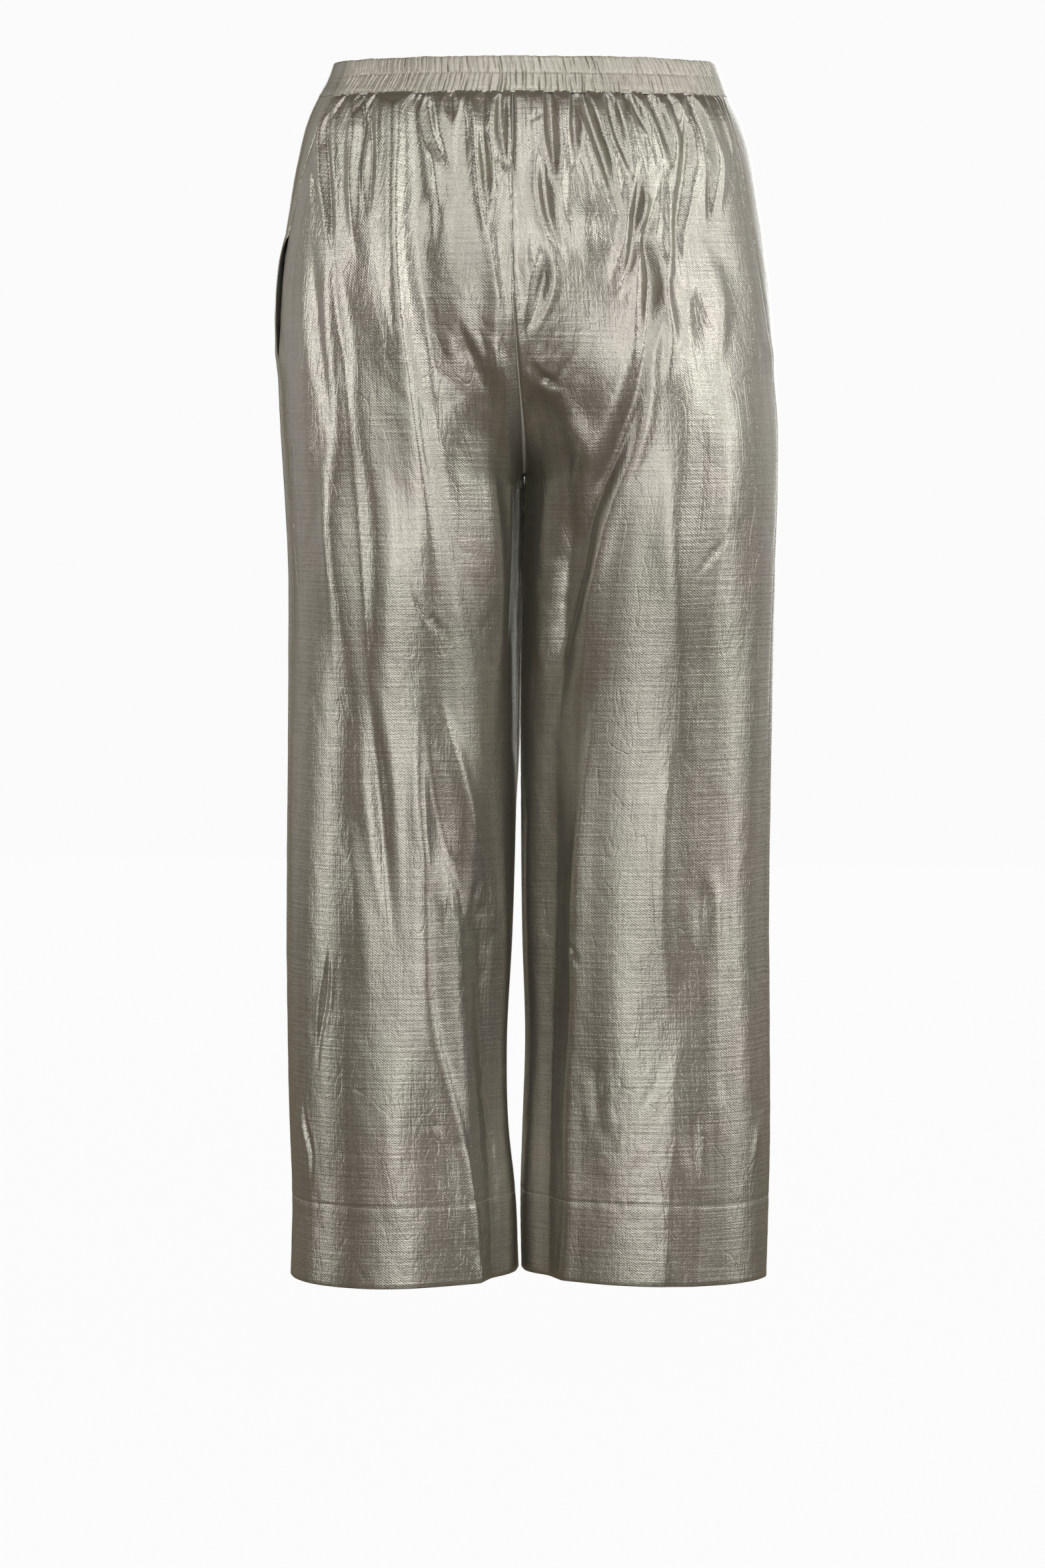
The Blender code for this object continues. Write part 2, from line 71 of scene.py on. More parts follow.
Section = namedtuple("Section", "drop left right middle gap back front lean left_seam right_seam edge")
SECTIONS = [
    Section(-27, 142.3, 150.2, 5.5, 0.3, 96, 102, 0.00, 40, 26, 1.00),
    Section(-14, 147.0, 154.8, 5.5, 0.3, 99, 105, 0.00, 42, 27, 1.00),
    Section(0, 154.5, 160.0, 5.5, 0.3, 103, 108, 0.00, 43, 29, 1.00),
    Section(17, 162.0, 168.0, 5.5, 0.3, 109, 112, 0.00, 42, 35, 1.00),
    Section(47, 170.0, 177.0, 5.5, 0.3, 117, 116, 0.00, 37, 38, 1.00),
    Section(87, 177.0, 183.5, 5.5, 0.3, 126, 119, 0.00, 29, 40, 1.00),
    Section(128, 182.5, 189.5, 5.0, 0.3, 132, 119, 0.00, 22, 40, 1.00),
    Section(170, 184.8, 193.8, 3.5, 0.3, 135, 117, 0.00, 19, 36, 1.00),
    Section(211, 184.2, 196.2, 1.0, 0.4, 134, 114, 0.00, 19, 31, 1.00),
    Section(252, 182.5, 199.0, -2.5, 0.5, 129, 111, 0.01, 20, 28, 1.01),
    Section(292, 180.0, 199.0, -3.5, 0.8, 121, 108, 0.02, 21, 26, 1.02),
    Section(354, 177.0, 197.0, -2.5, 1.2, 110, 103, 0.04, 21, 25, 1.04),
    Section(435, 177.0, 194.8, -0.5, 2.0, 98, 97, 0.05, 18, 22, 1.06),
    Section(540, 178.5, 193.0, 1.0, 3.6, 88, 92, 0.06, 14, 18, 1.08),
    Section(640, 179.4, 192.4, 2.0, 7.5, 82, 88, 0.07, 11, 14, 1.10),
    Section(724, 178.6, 193.3, 3.0, 14.0, 79, 85, 0.08, 8, 10, 1.12),
    Section(790, 177.7, 194.0, 3.5, 11.0, 77, 82, 0.08, 5, 6, 1.14),
    Section(850, 176.0, 193.0, 1.5, 3.6, 76, 80, 0.08, 3, 3, 1.16),
    Section(907, 177.5, 191.5, 0.0, 2.0, 75, 78, 0.08, 2, 2, 1.18),
]
BAND_TOP_DROP = SECTIONS[0].drop
FINE_SHARES = np.linspace(0, 1, 241)

# A crease runs down its path of (across, drop) points. Its depth is below 0 for a trough and above
# 0 for a ridge. width is how far it reaches to each side at the top, and foot_width at the foot.
# Where steep is over 1, its inner side is the steeper one.
Crease = namedtuple("Crease", "depth width foot_width steep path")
BACK_CREASES = {
    LEFT: [
        Crease(-4.0, 3.2, 4.5, 1.0, [(136, 0), (144, 16), (146, 50), (143, 90), (141, 128)]),
        Crease(-2.6, 7, 9, 1.0, [(142, 118), (138, 168), (132, 207), (126, 273)]),
        Crease(-5.5, 14, 11, 1.0, [(129, 220), (125, 300), (119, 390), (114, 480)]),
        Crease(-3.6, 7, 6, 1.0, [(115, 425), (107, 520), (99, 600), (92, 655)]),
        Crease(-4.0, 3.2, 4, 1.0, [(119, 2), (117, 22), (121, 56), (120, 92)]),
        Crease(2.5, 5, 5, 1.0, [(121, 26), (126, 69), (125, 99), (119, 134)]),
        Crease(-2.6, 2.8, 3.5, 1.0, [(110, 2), (111, 38), (112, 107)]),
        Crease(
            7.5, 8, 15, 3.0,
            [(90, 2), (90, 35), (91, 61), (91, 115), (87, 178), (79, 250), (67, 330), (48, 420)],
        ),
        Crease(-4.0, 9, 14, 0.7, [(78, 4), (76, 60), (74, 120), (66, 200), (55, 290), (40, 370), (22, 450)]),
        Crease(-2.2, 3, 3, 1.0, [(70, 8), (64, 36), (57, 53), (47, 66)]),
        Crease(2.2, 3, 4, 1.0, [(67, 34), (62, 66), (59, 94)]),
        Crease(-1.6, 5, 5, 1.0, [(69, 74), (64, 122)]),
        Crease(3.6, 3, 7, 1.6, [(38, 3), (32, 23), (28, 69), (23, 109), (13, 168), (6, 196)]),
        Crease(-5.0, 2.6, 2.8, 0.7, [(31, 14), (27, 58), (25, 87), (22, 118)]),
        Crease(-2.6, 2.4, 3, 1.0, [(52, 0), (49, 26)]),
        Crease(2.2, 2.6, 3, 1.0, [(22, 2), (21, 38), (20, 74)]),
        Crease(-3.2, 2.5, 3, 1.0, [(16, 6), (13, 38), (9, 66)]),
        Crease(3.2, 8, 8, 1.0, [(23, 178), (14, 208), (8, 238)]),
        Crease(-2.2, 5, 6, 1.6, [(47, 168), (36, 200), (24, 228)]),
        Crease(4.0, 8, 9, 1.0, [(20, 110), (16, 211), (9, 290), (10, 380), (12, 470)]),
        Crease(-1.6, 2, 2.4, 1.0, [(157, 55), (154, 92)]),
        Crease(-2.4, 9, 10, 1.0, [(158, 106), (155, 153), (150, 194), (139, 264)]),
        Crease(2.2, 12, 12, 1.0, [(150, 255), (145, 336), (140, 400), (137, 460)]),
        Crease(-1.1, 1.8, 1.8, 1.0, [(173, 220), (174, 288), (172, 344), (156, 434)]),
        Crease(-1.4, 2.2, 2.2, 1.0, [(83, 364), (71, 391), (57, 404), (43, 416)]),
        Crease(-0.7, 3.2, 3.2, 1.0, [(28, 426), (6, 438)]),
        Crease(
            7.0, 13, 13, 2.4,
            [(78, 430), (74, 520), (72, 600), (68, 700), (54, 762), (42, 820), (32, 904)],
        ),
        Crease(4.0, 9, 7, 1.0, [(60, 450), (48, 500), (36, 545), (24, 600)]),
        Crease(-5.5, 7, 14, 1.0, [(72, 470), (64, 520), (54, 565), (42, 610), (34, 660)]),
        Crease(-1.6, 1.8, 2, 1.0, [(53, 600), (56, 636)]),
        Crease(-2.2, 3, 3.5, 1.0, [(144, 640), (148, 680), (152, 708), (156, 748)]),
        Crease(-1.8, 3, 3.5, 1.0, [(165, 756), (166, 780), (160, 806), (161, 834)]),
        Crease(2.0, 10, 12, 1.0, [(131, 532), (120, 620), (112, 712)]),
        Crease(-0.6, 1.6, 1.6, 1.0, [(171, 700), (120, 689), (78, 680)]),
        Crease(-9.5, 21, 17, 1.0, [(30, 520), (30, 640), (25, 740), (19, 850), (18, 904)]),
        Crease(-1.4, 2.2, 2.2, 1.0, [(68, 777), (57, 790)]),
        Crease(-0.7, 3.0, 3.0, 1.0, [(68, 790), (42, 799), (11, 814)]),
        Crease(-0.4, 1.2, 1.2, 1.0, [(145, 855), (130, 880), (115, 906)]),
        Crease(2.0, 16, 18, 1.0, [(92, 720), (96, 800), (90, 890)]),
        Crease(6.5, 16, 17, 1.0, [(30, 230), (22, 300), (17, 370), (16, 440), (20, 500)]),
    ],
    RIGHT: [
        Crease(-5.0, 3, 3.4, 1.0, [(22, 0), (24, 30), (26, 76)]),
        Crease(-4.2, 4, 4, 1.0, [(17, 38), (18, 69), (22, 96), (35, 131)]),
        Crease(2.0, 3.4, 4, 1.0, [(12, 40), (13, 80), (23, 122)]),
        Crease(2.0, 3.6, 4, 1.0, [(32, 40), (31, 82), (40, 120)]),
        Crease(-4.0, 3, 3, 1.0, [(40, 0), (41, 27), (41, 60)]),
        Crease(-5.0, 3, 4, 1.0, [(46, 0), (52, 23), (60, 43), (72, 87), (76, 104)]),
        Crease(3.0, 13, 14, 1.0, [(50, 78), (50, 132)]),
        Crease(-5.0, 3, 3, 1.0, [(66, 4), (72, 30), (86, 68)]),
        Crease(-3.0, 2.5, 2.5, 1.0, [(77, 0), (79, 24)]),
        Crease(-3.6, 3, 3, 1.0, [(81, 2), (91, 23), (98, 36)]),
        Crease(-4.2, 3.6, 4, 1.0, [(94, 0), (104, 20), (111, 38), (113, 62)]),
        Crease(-3.2, 2.8, 3, 1.0, [(109, 0), (116, 15), (119, 42)]),
        Crease(-6.0, 3, 4, 1.0, [(91, 50), (88, 90), (84, 122), (70, 160)]),
        Crease(2.4, 4, 4, 1.0, [(81, 66), (77, 110), (64, 152)]),
        Crease(2.6, 3.4, 4, 1.0, [(95, 56), (93, 88), (86, 120)]),
        Crease(3.2, 4.6, 6, 1.0, [(112, 58), (113, 107), (110, 161), (115, 184), (111, 228)]),
        Crease(-7.0, 3.6, 7, 1.0, [(104, 64), (98, 95), (94, 108), (98, 130), (96, 170), (89, 220)]),
        Crease(
            -9.0, 8, 14, 0.8,
            [(96, 172), (88, 223), (72, 268), (55, 304), (44, 352), (28, 407), (10, 468)],
        ),
        Crease(3.0, 6, 7, 1.0, [(104, 126), (110, 161), (112, 192), (108, 230)]),
        Crease(-6.0, 3.4, 3.6, 1.0, [(127, 2), (137, 27), (144, 55), (143, 84), (141, 108)]),
        Crease(2.4, 3.6, 4, 1.0, [(137, 16), (151, 50), (151, 98)]),
        Crease(2.2, 3.4, 4, 1.0, [(133, 28), (137, 60), (133, 98)]),
        Crease(-3.6, 4.6, 5, 1.0, [(126, 8), (124, 60), (117, 115), (119, 140), (128, 156)]),
        Crease(-2.2, 7, 8, 1.0, [(130, 136), (127, 170), (130, 206)]),
        Crease(3.6, 12, 12, 1.0, [(139, 106), (149, 150), (146, 220)]),
        Crease(-4.2, 4, 4.6, 1.0, [(15, 110), (19, 130), (15, 153), (3, 186)]),
        Crease(2.0, 5, 6, 1.0, [(5, 106), (5, 158)]),
        Crease(-2.2, 4, 4, 1.0, [(7, 199), (17, 215), (37, 223)]),
        Crease(-1.1, 1.6, 1.6, 1.0, [(20, 15), (3, 27)]),
        Crease(3.6, 13, 15, 1.0, [(31, 236), (46, 262), (64, 294)]),
        Crease(-6.5, 14, 15, 1.0, [(16, 214), (13, 245), (15, 276)]),
        Crease(3.2, 13, 14, 1.0, [(113, 262), (113, 336), (117, 383), (117, 456)]),
        Crease(-1.4, 9, 9, 1.0, [(136, 224), (136, 288), (127, 354)]),
        Crease(1.2, 10, 10, 1.0, [(156, 260), (153, 320), (142, 402)]),
        Crease(-1.6, 2.2, 2.2, 1.0, [(161, 326), (143, 347), (125, 369)]),
        Crease(-1.2, 7, 7, 1.0, [(140, 380), (136, 423), (126, 490)]),
        Crease(
            5.5, 12, 12, 2.2,
            [(64, 420), (50, 520), (42, 600), (41, 700), (35, 780), (37, 850), (32, 904)],
        ),
        Crease(-9.5, 18, 16, 1.0, [(26, 430), (22, 560), (19, 680), (17, 800), (17, 904)]),
        Crease(3.2, 13, 14, 1.0, [(115, 470), (109, 576), (109, 640), (118, 724)]),
        Crease(-1.2, 6, 6, 1.0, [(138, 580), (137, 616), (137, 656)]),
        Crease(1.0, 5, 5, 1.0, [(150, 580), (149, 668)]),
        Crease(-1.6, 2.2, 2.2, 1.0, [(36, 641), (50, 662)]),
        Crease(3.0, 14, 14, 0.7, [(118, 700), (117, 780), (114, 850), (112, 900)]),
        Crease(-1.2, 6, 6, 1.0, [(133, 766), (132, 800), (136, 840)]),
        Crease(1.4, 5, 6, 1.0, [(150, 742), (151, 780), (148, 812)]),
        Crease(1.4, 5, 5, 1.0, [(186, 774), (182, 800), (177, 828)]),
        Crease(-1.4, 6, 6, 1.0, [(62, 720), (58, 760), (66, 800)]),
        Crease(-9.0, 16, 13, 1.0, [(34, 250), (34, 320), (30, 410), (26, 500)]),
        Crease(3.0, 16, 16, 0.6, [(146, 540), (148, 660), (143, 760), (138, 850), (134, 904)]),
    ],
}
# The front hangs flat from its waistband, with a few drapes off the thighs.
FRONT_CREASES = {
    LEFT: [
        Crease(-3.0, 11, 12, 1.0, [(20, 60), (22, 160), (27, 250), (31, 300)]),
        Crease(3.0, 14, 18, 1.0, [(92, 120), (98, 260), (104, 420)]),
        Crease(-6.0, 15, 20, 0.7, [(124, 210), (104, 330), (76, 470), (54, 630)]),
        Crease(-2.0, 9, 9, 1.0, [(40, 236), (62, 286), (92, 322)]),
        Crease(5.0, 14, 16, 1.0, [(84, 380), (86, 560), (92, 740), (92, 900)]),
        Crease(-6.0, 14, 17, 1.0, [(148, 470), (140, 600), (132, 740), (130, 880)]),
        Crease(3.0, 10, 12, 1.6, [(60, 560), (48, 680), (50, 800), (40, 900)]),
        Crease(-3.0, 10, 12, 1.0, [(112, 560), (108, 660), (112, 760)]),
        Crease(-1.6, 3, 3, 1.0, [(128, 96), (140, 150), (136, 210)]),
        Crease(-1.4, 2.4, 2.4, 1.0, [(70, 700), (90, 722), (104, 730)]),
    ],
    RIGHT: [
        Crease(-3.0, 11, 12, 1.0, [(16, 70), (19, 170), (22, 260), (26, 316)]),
        Crease(3.0, 14, 18, 1.0, [(100, 140), (96, 280), (96, 430)]),
        Crease(-6.0, 15, 20, 0.7, [(132, 230), (112, 350), (84, 470), (58, 610)]),
        Crease(-2.0, 9, 9, 1.0, [(36, 246), (60, 300), (84, 340)]),
        Crease(5.0, 14, 16, 1.0, [(104, 400), (98, 560), (96, 740), (98, 900)]),
        Crease(-6.0, 14, 17, 1.0, [(160, 450), (156, 600), (150, 740), (148, 880)]),
        Crease(3.0, 10, 12, 1.6, [(56, 540), (44, 660), (52, 790), (42, 900)]),
        Crease(-3.0, 10, 12, 1.0, [(126, 540), (122, 650), (128, 750)]),
        Crease(-1.6, 3, 3, 1.0, [(134, 110), (150, 170), (144, 230)]),
        Crease(-1.4, 2.4, 2.4, 1.0, [(78, 640), (100, 668), (116, 676)]),
    ],
}
CREASES = {BACK: BACK_CREASES, FRONT: FRONT_CREASES}

# Where the satin is crushed: the middle of each patch, its reach across and down, and its depth.
Crush = namedtuple("Crush", "across drop reach fall depth")
CRUSHES = {
    (LEFT, BACK): [
        Crush(30, 400, 24, 70, 0.6),
        Crush(34, 640, 26, 90, 0.9),
        Crush(26, 780, 22, 60, 0.8),
        Crush(30, 880, 22, 40, 0.8),
        Crush(11, 66, 12, 22, 1.3),
        Crush(60, 210, 60, 90, 0.4),
    ],
    (RIGHT, BACK): [
        Crush(24, 380, 24, 80, 0.7),
        Crush(20, 215, 20, 26, 1.4),
        Crush(16, 640, 16, 120, 0.7),
        Crush(70, 780, 50, 80, 0.5),
        Crush(100, 90, 50, 60, 0.4),
    ],
    (LEFT, FRONT): [Crush(30, 330, 30, 60, 1.2), Crush(60, 640, 60, 120, 0.6)],
    (RIGHT, FRONT): [Crush(28, 340, 30, 60, 1.2), Crush(70, 620, 60, 120, 0.6)],
}

# The seam allowances: how far in from the seam each line of points is, and the cloth behind it.
ALLOWANCE_REACHES = (8.0, 4.0, 1.0)
ALLOWANCE_CLEAR = 0.25
ALLOWANCE_WALL = 0.5

# The pocket bags and the mouth of the left one, as in the part's source.
POCKET_TOP = 60.0
POCKET_FOOT = 200.0
POCKET_REACH = 104.0
POCKET_SAG = 62.0
POCKET_WALL = 0.6
PANEL_WALL = 1.4
POCKET_HOLLOW = 8.0
POCKET_CLEAR = 2.0
POCKET_SEWN = 0.6
POCKET_MOUTH_LAP = 4.0
POCKET_SET_BACK = 6.0
POCKET_MOUTH_FADE = 12.0
POCKET_POINTS = 40
POCKET_RINGS = 26
GAPE_TOP = 104.0
GAPE = 9.0
GAPE_FRONT_SHARE = 0.75
GAPE_BULGE = 3.0
TACK_BULGE = 1.6

# The cloth.
SATIN = 0.6
TURNED_HEM = 1.7
HEM_STITCH_DROP = HEM_DROP - HEM_DEPTH
GATHER_PUFF = 3.0
SEAM_QUIET = 9.0
CENTRE_QUIET = 4.0
INSEAM_QUIET = 12.0
BACK_COLUMNS = 216
FRONT_COLUMNS = 120
# A panel's rows: from one drop, to another, and how far apart.
BACK_ROW_STEPS = [(0, 64, 1.6), (64, 240, 2.6), (240, 838, 4.2), (838, 853, 1.5), (853, HEM_DROP, 3.0)]
FRONT_ROW_STEPS = [(0, 240, 3.6), (240, 838, 5.0), (838, 853, 1.8), (853, HEM_DROP, 4.2)]

# The cut. Below the fork a panel's extra width is at its inside seam. The cloth is as full as its
# placed folds need, with EASE more, and the elastic gathers GATHERED more at the top of the back.
FORK_DROP = 215.0
FORK_SHARE = 0.45
FOOT_MAIN = 0.92
GATHERED = 0.05
GATHERED_FOOT = 60.0
EASE = 0.003
FOLDS_SPREAD = 7

# Where the legs touch, each one's inside edge leans a little into the other's.
TOUCH_FOOT = 480.0
TOUCH_FADE = 80.0
TOUCH_LEAN = 2.2
TOUCH_DEPTH = 9.0
TOUCH_REACH = 14.0

# A crease whose path starts or ends this near the waist or the hem runs on into it.
AT_EDGE = 12
# Soft waves all over the panels: the shorter ones and the long ones.
SOFT_WAVES = 0.45
LONG_WAVES = 2.4
# Each seam is rolled in and puckered, and the shut pocket has a pressed welt beside it.
SEAM_ROLL = 0.75
SEAM_ROLL_WIDTH = 0.9
SIDE_PUCKER = 0.22
CENTRE_PUCKER = 0.3
WELT = 0.7
WELT_FOOT = 190
WELT_FADE = 60
# The groove of the hem's stitches, and how far they draw the cloth up.
HEM_GROOVE = 0.25
HEM_GROOVE_WIDTH = 1.7
HEM_DRAWN = 0.16

# How the cloth settles. HELD is how strongly it is drawn back to its placed folds, and SETTLED how
# much of the settled form the finished cloth takes. Both change from under the elastic to the legs,
# between two drops. SUNK and RAISED are how far it may stand in from the form, and out from it.
SETTLE_STEPS = 100
WEIGHT_OF_CLOTH = 0.012
DRAG = 0.9
HELD = 0.09
HELD_LEGS = 0.4
HELD_DROPS = (70.0, 200.0)
SETTLED = 0.55
SETTLED_LEGS = 0.12
SETTLED_DROPS = (20.0, 85.0)
BEND_REACHES = (4, 10)
BEND = 0.26
SLANT = 0.45
SUNK = 10.0
SUNK_OVER_POCKET = 1.6
BELOW_POCKET_FADE = 30.0
BESIDE_POCKET_FADE = 24.0
SUNK_AT_BAND = 2.8
RAISED = 9.0
RAISED_AT_BAND = 1.2
PLEATS_OPEN = 14.0


def smooth_step(x):
    x = np.clip(x, 0, 1)
    return x * x * (3 - 2 * x)


def wall_z(drop):
    return -BAND_HEIGHT / 2 - SEAM_GAP - drop


def between(t, span, values, slopes, i):
    """A smooth curve from value i to the next one, t being the share of the span passed."""
    start = (2 * t**3 - 3 * t**2 + 1) * values[i] + (t**3 - 2 * t**2 + t) * span * slopes[i]
    end = (3 * t**2 - 2 * t**3) * values[i + 1] + (t**3 - t**2) * span * slopes[i + 1]
    return start + end


@lru_cache(maxsize=None)
def section_curve(column):
    """One column of the sections, with the slope at each drop."""
    drops = np.array([s.drop for s in SECTIONS], float)
    sizes = np.array([getattr(s, column) for s in SECTIONS], float)
    return drops, sizes, np.gradient(sizes, drops)


def size_at(column, drop):
    """A smooth curve through one column of the sections."""
    drops, sizes, slopes = section_curve(column)
    i = np.clip(np.searchsorted(drops, drop) - 1, 0, len(drops) - 2)
    span = drops[i + 1] - drops[i]
    return between((np.asarray(drop, float) - drops[i]) / span, span, sizes, slopes, i)


def leg_share(share, drop):
    """0 for the trunk's form and 1 for a leg's. The centre seam turns under along a quarter circle."""
    reach = np.clip((np.asarray(drop, float) - SEAT_DROP) / (CROTCH_DROP - SEAT_DROP), 0, 1)
    at_seam = 1 - np.sqrt(1 - reach**2)
    outwards = smooth_step((np.asarray(drop, float) - THIGH_TOP) / (THIGH_FOOT - THIGH_TOP))
    return at_seam + (outwards - at_seam) * smooth_step(np.asarray(share, float) / THIGH_SHARE)


def form_point(side, face, share, drop):
    """The plain outside form, before folds."""
    share, drop = np.broadcast_arrays(np.asarray(share, float), np.asarray(drop, float))
    half_gap = size_at("gap", drop) / 2
    inner = size_at("middle", drop) + side * half_gap
    outer = side * size_at("left" if side == LEFT else "right", drop)
    depth_share = 1 + side * size_at("lean", drop)
    back = size_at("back", drop) * depth_share
    front = size_at("front", drop) * depth_share
    edge = size_at("edge", drop)
    seam_turn = np.arcsin(size_at("left_seam" if side == LEFT else "right_seam", drop) / back)

    def arc(centre, half_width, start):
        turn = start + (seam_turn - start) * share
        rise = np.sin(turn)
        depth = np.where(rise > 0, back, -front)
        return centre + half_width * np.cos(turn), depth * np.abs(rise) ** edge

    trunk_x, trunk_y = arc(inner, outer - inner, face * math.pi / 2)
    leg_x, leg_y = arc((inner + outer) / 2, (outer - inner) / 2, face * math.pi)
    t = leg_share(share, drop)
    hem_lift = INSEAM_LIFT * (1 - share) ** 2 * smooth_step((drop - HEM_DROP + 200) / 200)
    x = (1 - t) * trunk_x + t * leg_x
    y = (1 - t) * trunk_y + t * leg_y
    return np.stack([x, y, wall_z(drop) + hem_lift], axis=-1)


def form_normal(side, face, share, drop):
    """The outward direction of the plain form."""
    step_share, step_drop = 0.004, 1.0
    along = form_point(side, face, share + step_share, drop)
    along = along - form_point(side, face, share - step_share, drop)
    low = np.clip(np.asarray(drop, float) + step_drop, BAND_TOP_DROP, HEM_DROP)
    high = np.clip(np.asarray(drop, float) - step_drop, BAND_TOP_DROP, HEM_DROP)
    down = form_point(side, face, share, low) - form_point(side, face, share, high)
    normal = np.cross(along, down) * side * face
    return normal / np.linalg.norm(normal, axis=-1, keepdims=True)


@lru_cache(maxsize=None)
def level_line(side, face, drop):
    """At one drop, how far out a panel stands at each of the fine shares, and how far in from the
    side seam each one lies, measured over the cloth."""
    line = form_point(side, face, FINE_SHARES, np.full_like(FINE_SHARES, drop))
    passed = np.concatenate([[0], np.cumsum(np.linalg.norm(np.diff(line, axis=0), axis=1))])
    return np.maximum.accumulate(side * line[:, 0]), passed[-1] - passed


def smooth_path(path, step=7.0):
    """A round curve through a crease's points, with a point every few millimetres."""
    path = np.array(path, float)
    spans = np.linalg.norm(np.diff(path, axis=0), axis=1)
    places = np.concatenate([[0], np.cumsum(spans)])
    slopes = np.gradient(path, places, axis=0)
    wanted = np.linspace(0, places[-1], max(3, int(places[-1] / step) + 1))
    i = np.clip(np.searchsorted(places, wanted) - 1, 0, len(places) - 2)
    span = spans[i][:, None]
    return between((wanted - places[i])[:, None] / span, span, path, slopes, i)


def from_path(line, along, drop):
    """Signed distance from a line on the cloth, out from the centre, and the share of its length passed."""
    best = np.full(along.shape, np.inf)
    away = np.zeros(along.shape)
    passed = np.zeros(along.shape)
    runs = np.linalg.norm(np.diff(line, axis=0), axis=1)
    before = np.concatenate([[0], np.cumsum(runs)])
    for a, b, run, start in zip(line[:-1], line[1:], runs, before):
        step = (b - a) / run
        x, y = along - a[0], drop - a[1]
        t = np.clip(x * step[0] + y * step[1], 0, run)
        dx, dy = x - t * step[0], y - t * step[1]
        far = np.hypot(dx, dy)
        nearer = far < best
        best = np.where(nearer, far, best)
        away = np.where(nearer, np.copysign(far, x * step[1] - y * step[0]), away)
        passed = np.where(nearer, (start + t) / before[-1], passed)
    return away, passed


def cloth_noise(x, y, seed):
    """Smooth noise from -1 to 1, with one bump to each unit."""
    table = np.random.default_rng(seed).uniform(-1, 1, (64, 64))
    column, row = np.floor(x).astype(int), np.floor(y).astype(int)
    tx, ty = smooth_step(x - column), smooth_step(y - row)

    def corner(i, j):
        return table[(row + j) % 64, (column + i) % 64]

    upper = corner(0, 0) * (1 - tx) + corner(1, 0) * tx
    lower = corner(0, 1) * (1 - tx) + corner(1, 1) * tx
    return upper * (1 - ty) + lower * ty


def crinkles(x, y, seed):
    """Sharp little valleys between rounder bumps, from -1 to 0.4."""
    bent_x = x + 0.5 * cloth_noise(x * 0.6, y * 0.6, seed + 1)
    coarse = np.abs(cloth_noise(bent_x, y, seed))
    fine = np.abs(cloth_noise(bent_x * 2.1 + 0.4 * y, y * 2.1, seed + 2))
    return 0.4 - 1.0 * (1 - coarse) ** 3 - 0.45 * (1 - fine) ** 3


def gape_at(side, drop):
    """How far the left pocket's mouth stands open."""
    drop = np.asarray(drop, float)
    along = np.clip((drop - GAPE_TOP) / (POCKET_FOOT - GAPE_TOP), 0, 1)
    return GAPE * np.sin(math.pi * along**0.8) ** 0.8 * (side == LEFT)


def row_drops(steps):
    """The drops of a panel's rows, closer where the cloth has finer folds."""
    counts = [round((foot - top) / step) for top, foot, step in steps]
    counts[-1] += sum(counts) % 2
    drops = [np.linspace(top, foot, n, endpoint=False) for (top, foot, step), n in zip(steps, counts)]
    return np.concatenate(drops + [[steps[-1][1]]])


def spread(values, reach):
    """Each row of values averaged with the rows up to so many before and after it."""
    padded = np.pad(values, ((reach + 1, reach), (0, 0)), mode="edge")
    total = np.cumsum(padded, axis=0)
    return (total[2 * reach + 1 :] - total[: -2 * reach - 1]) / (2 * reach + 1)


def pull(points, free, offset, rest, stiffness):
    """Moves pairs of points towards their rest distance. A pair is (row, column) and that plus the
    offset. The pairs are taken in turns, so that no point is in two of them at once."""
    rows, columns = offset
    step = abs(rows) + abs(columns) if 0 in offset else 1
    for turn in range(2 * step):
        if rows:
            first, last = max(0, -columns), points.shape[1] - max(0, columns)
            picked = (slice(turn, points.shape[0] - rows, 2 * step), slice(first, last))
            mates = (slice(turn + rows, None, 2 * step), slice(first + columns, last + columns))
        else:
            picked = (slice(None), slice(turn, points.shape[1] - columns, 2 * step))
            mates = (slice(None), slice(turn + columns, None, 2 * step))
        one, two = points[picked], points[mates]
        count = min(one.shape[0], two.shape[0]), min(one.shape[1], two.shape[1])
        one, two = one[: count[0], : count[1]], two[: count[0], : count[1]]
        free_one = free[picked][: count[0], : count[1]]
        free_two = free[mates][: count[0], : count[1]]
        span = two - one
        length = np.sqrt((span * span).sum(axis=-1))
        wanted = rest[picked][: count[0], : count[1]]
        both_free = free_one + free_two + np.float32(1e-6)
        share = np.float32(stiffness) * (length - wanted) / (length * both_free)
        one += span * (share * free_one)[..., None]
        two -= span * (share * free_two)[..., None]


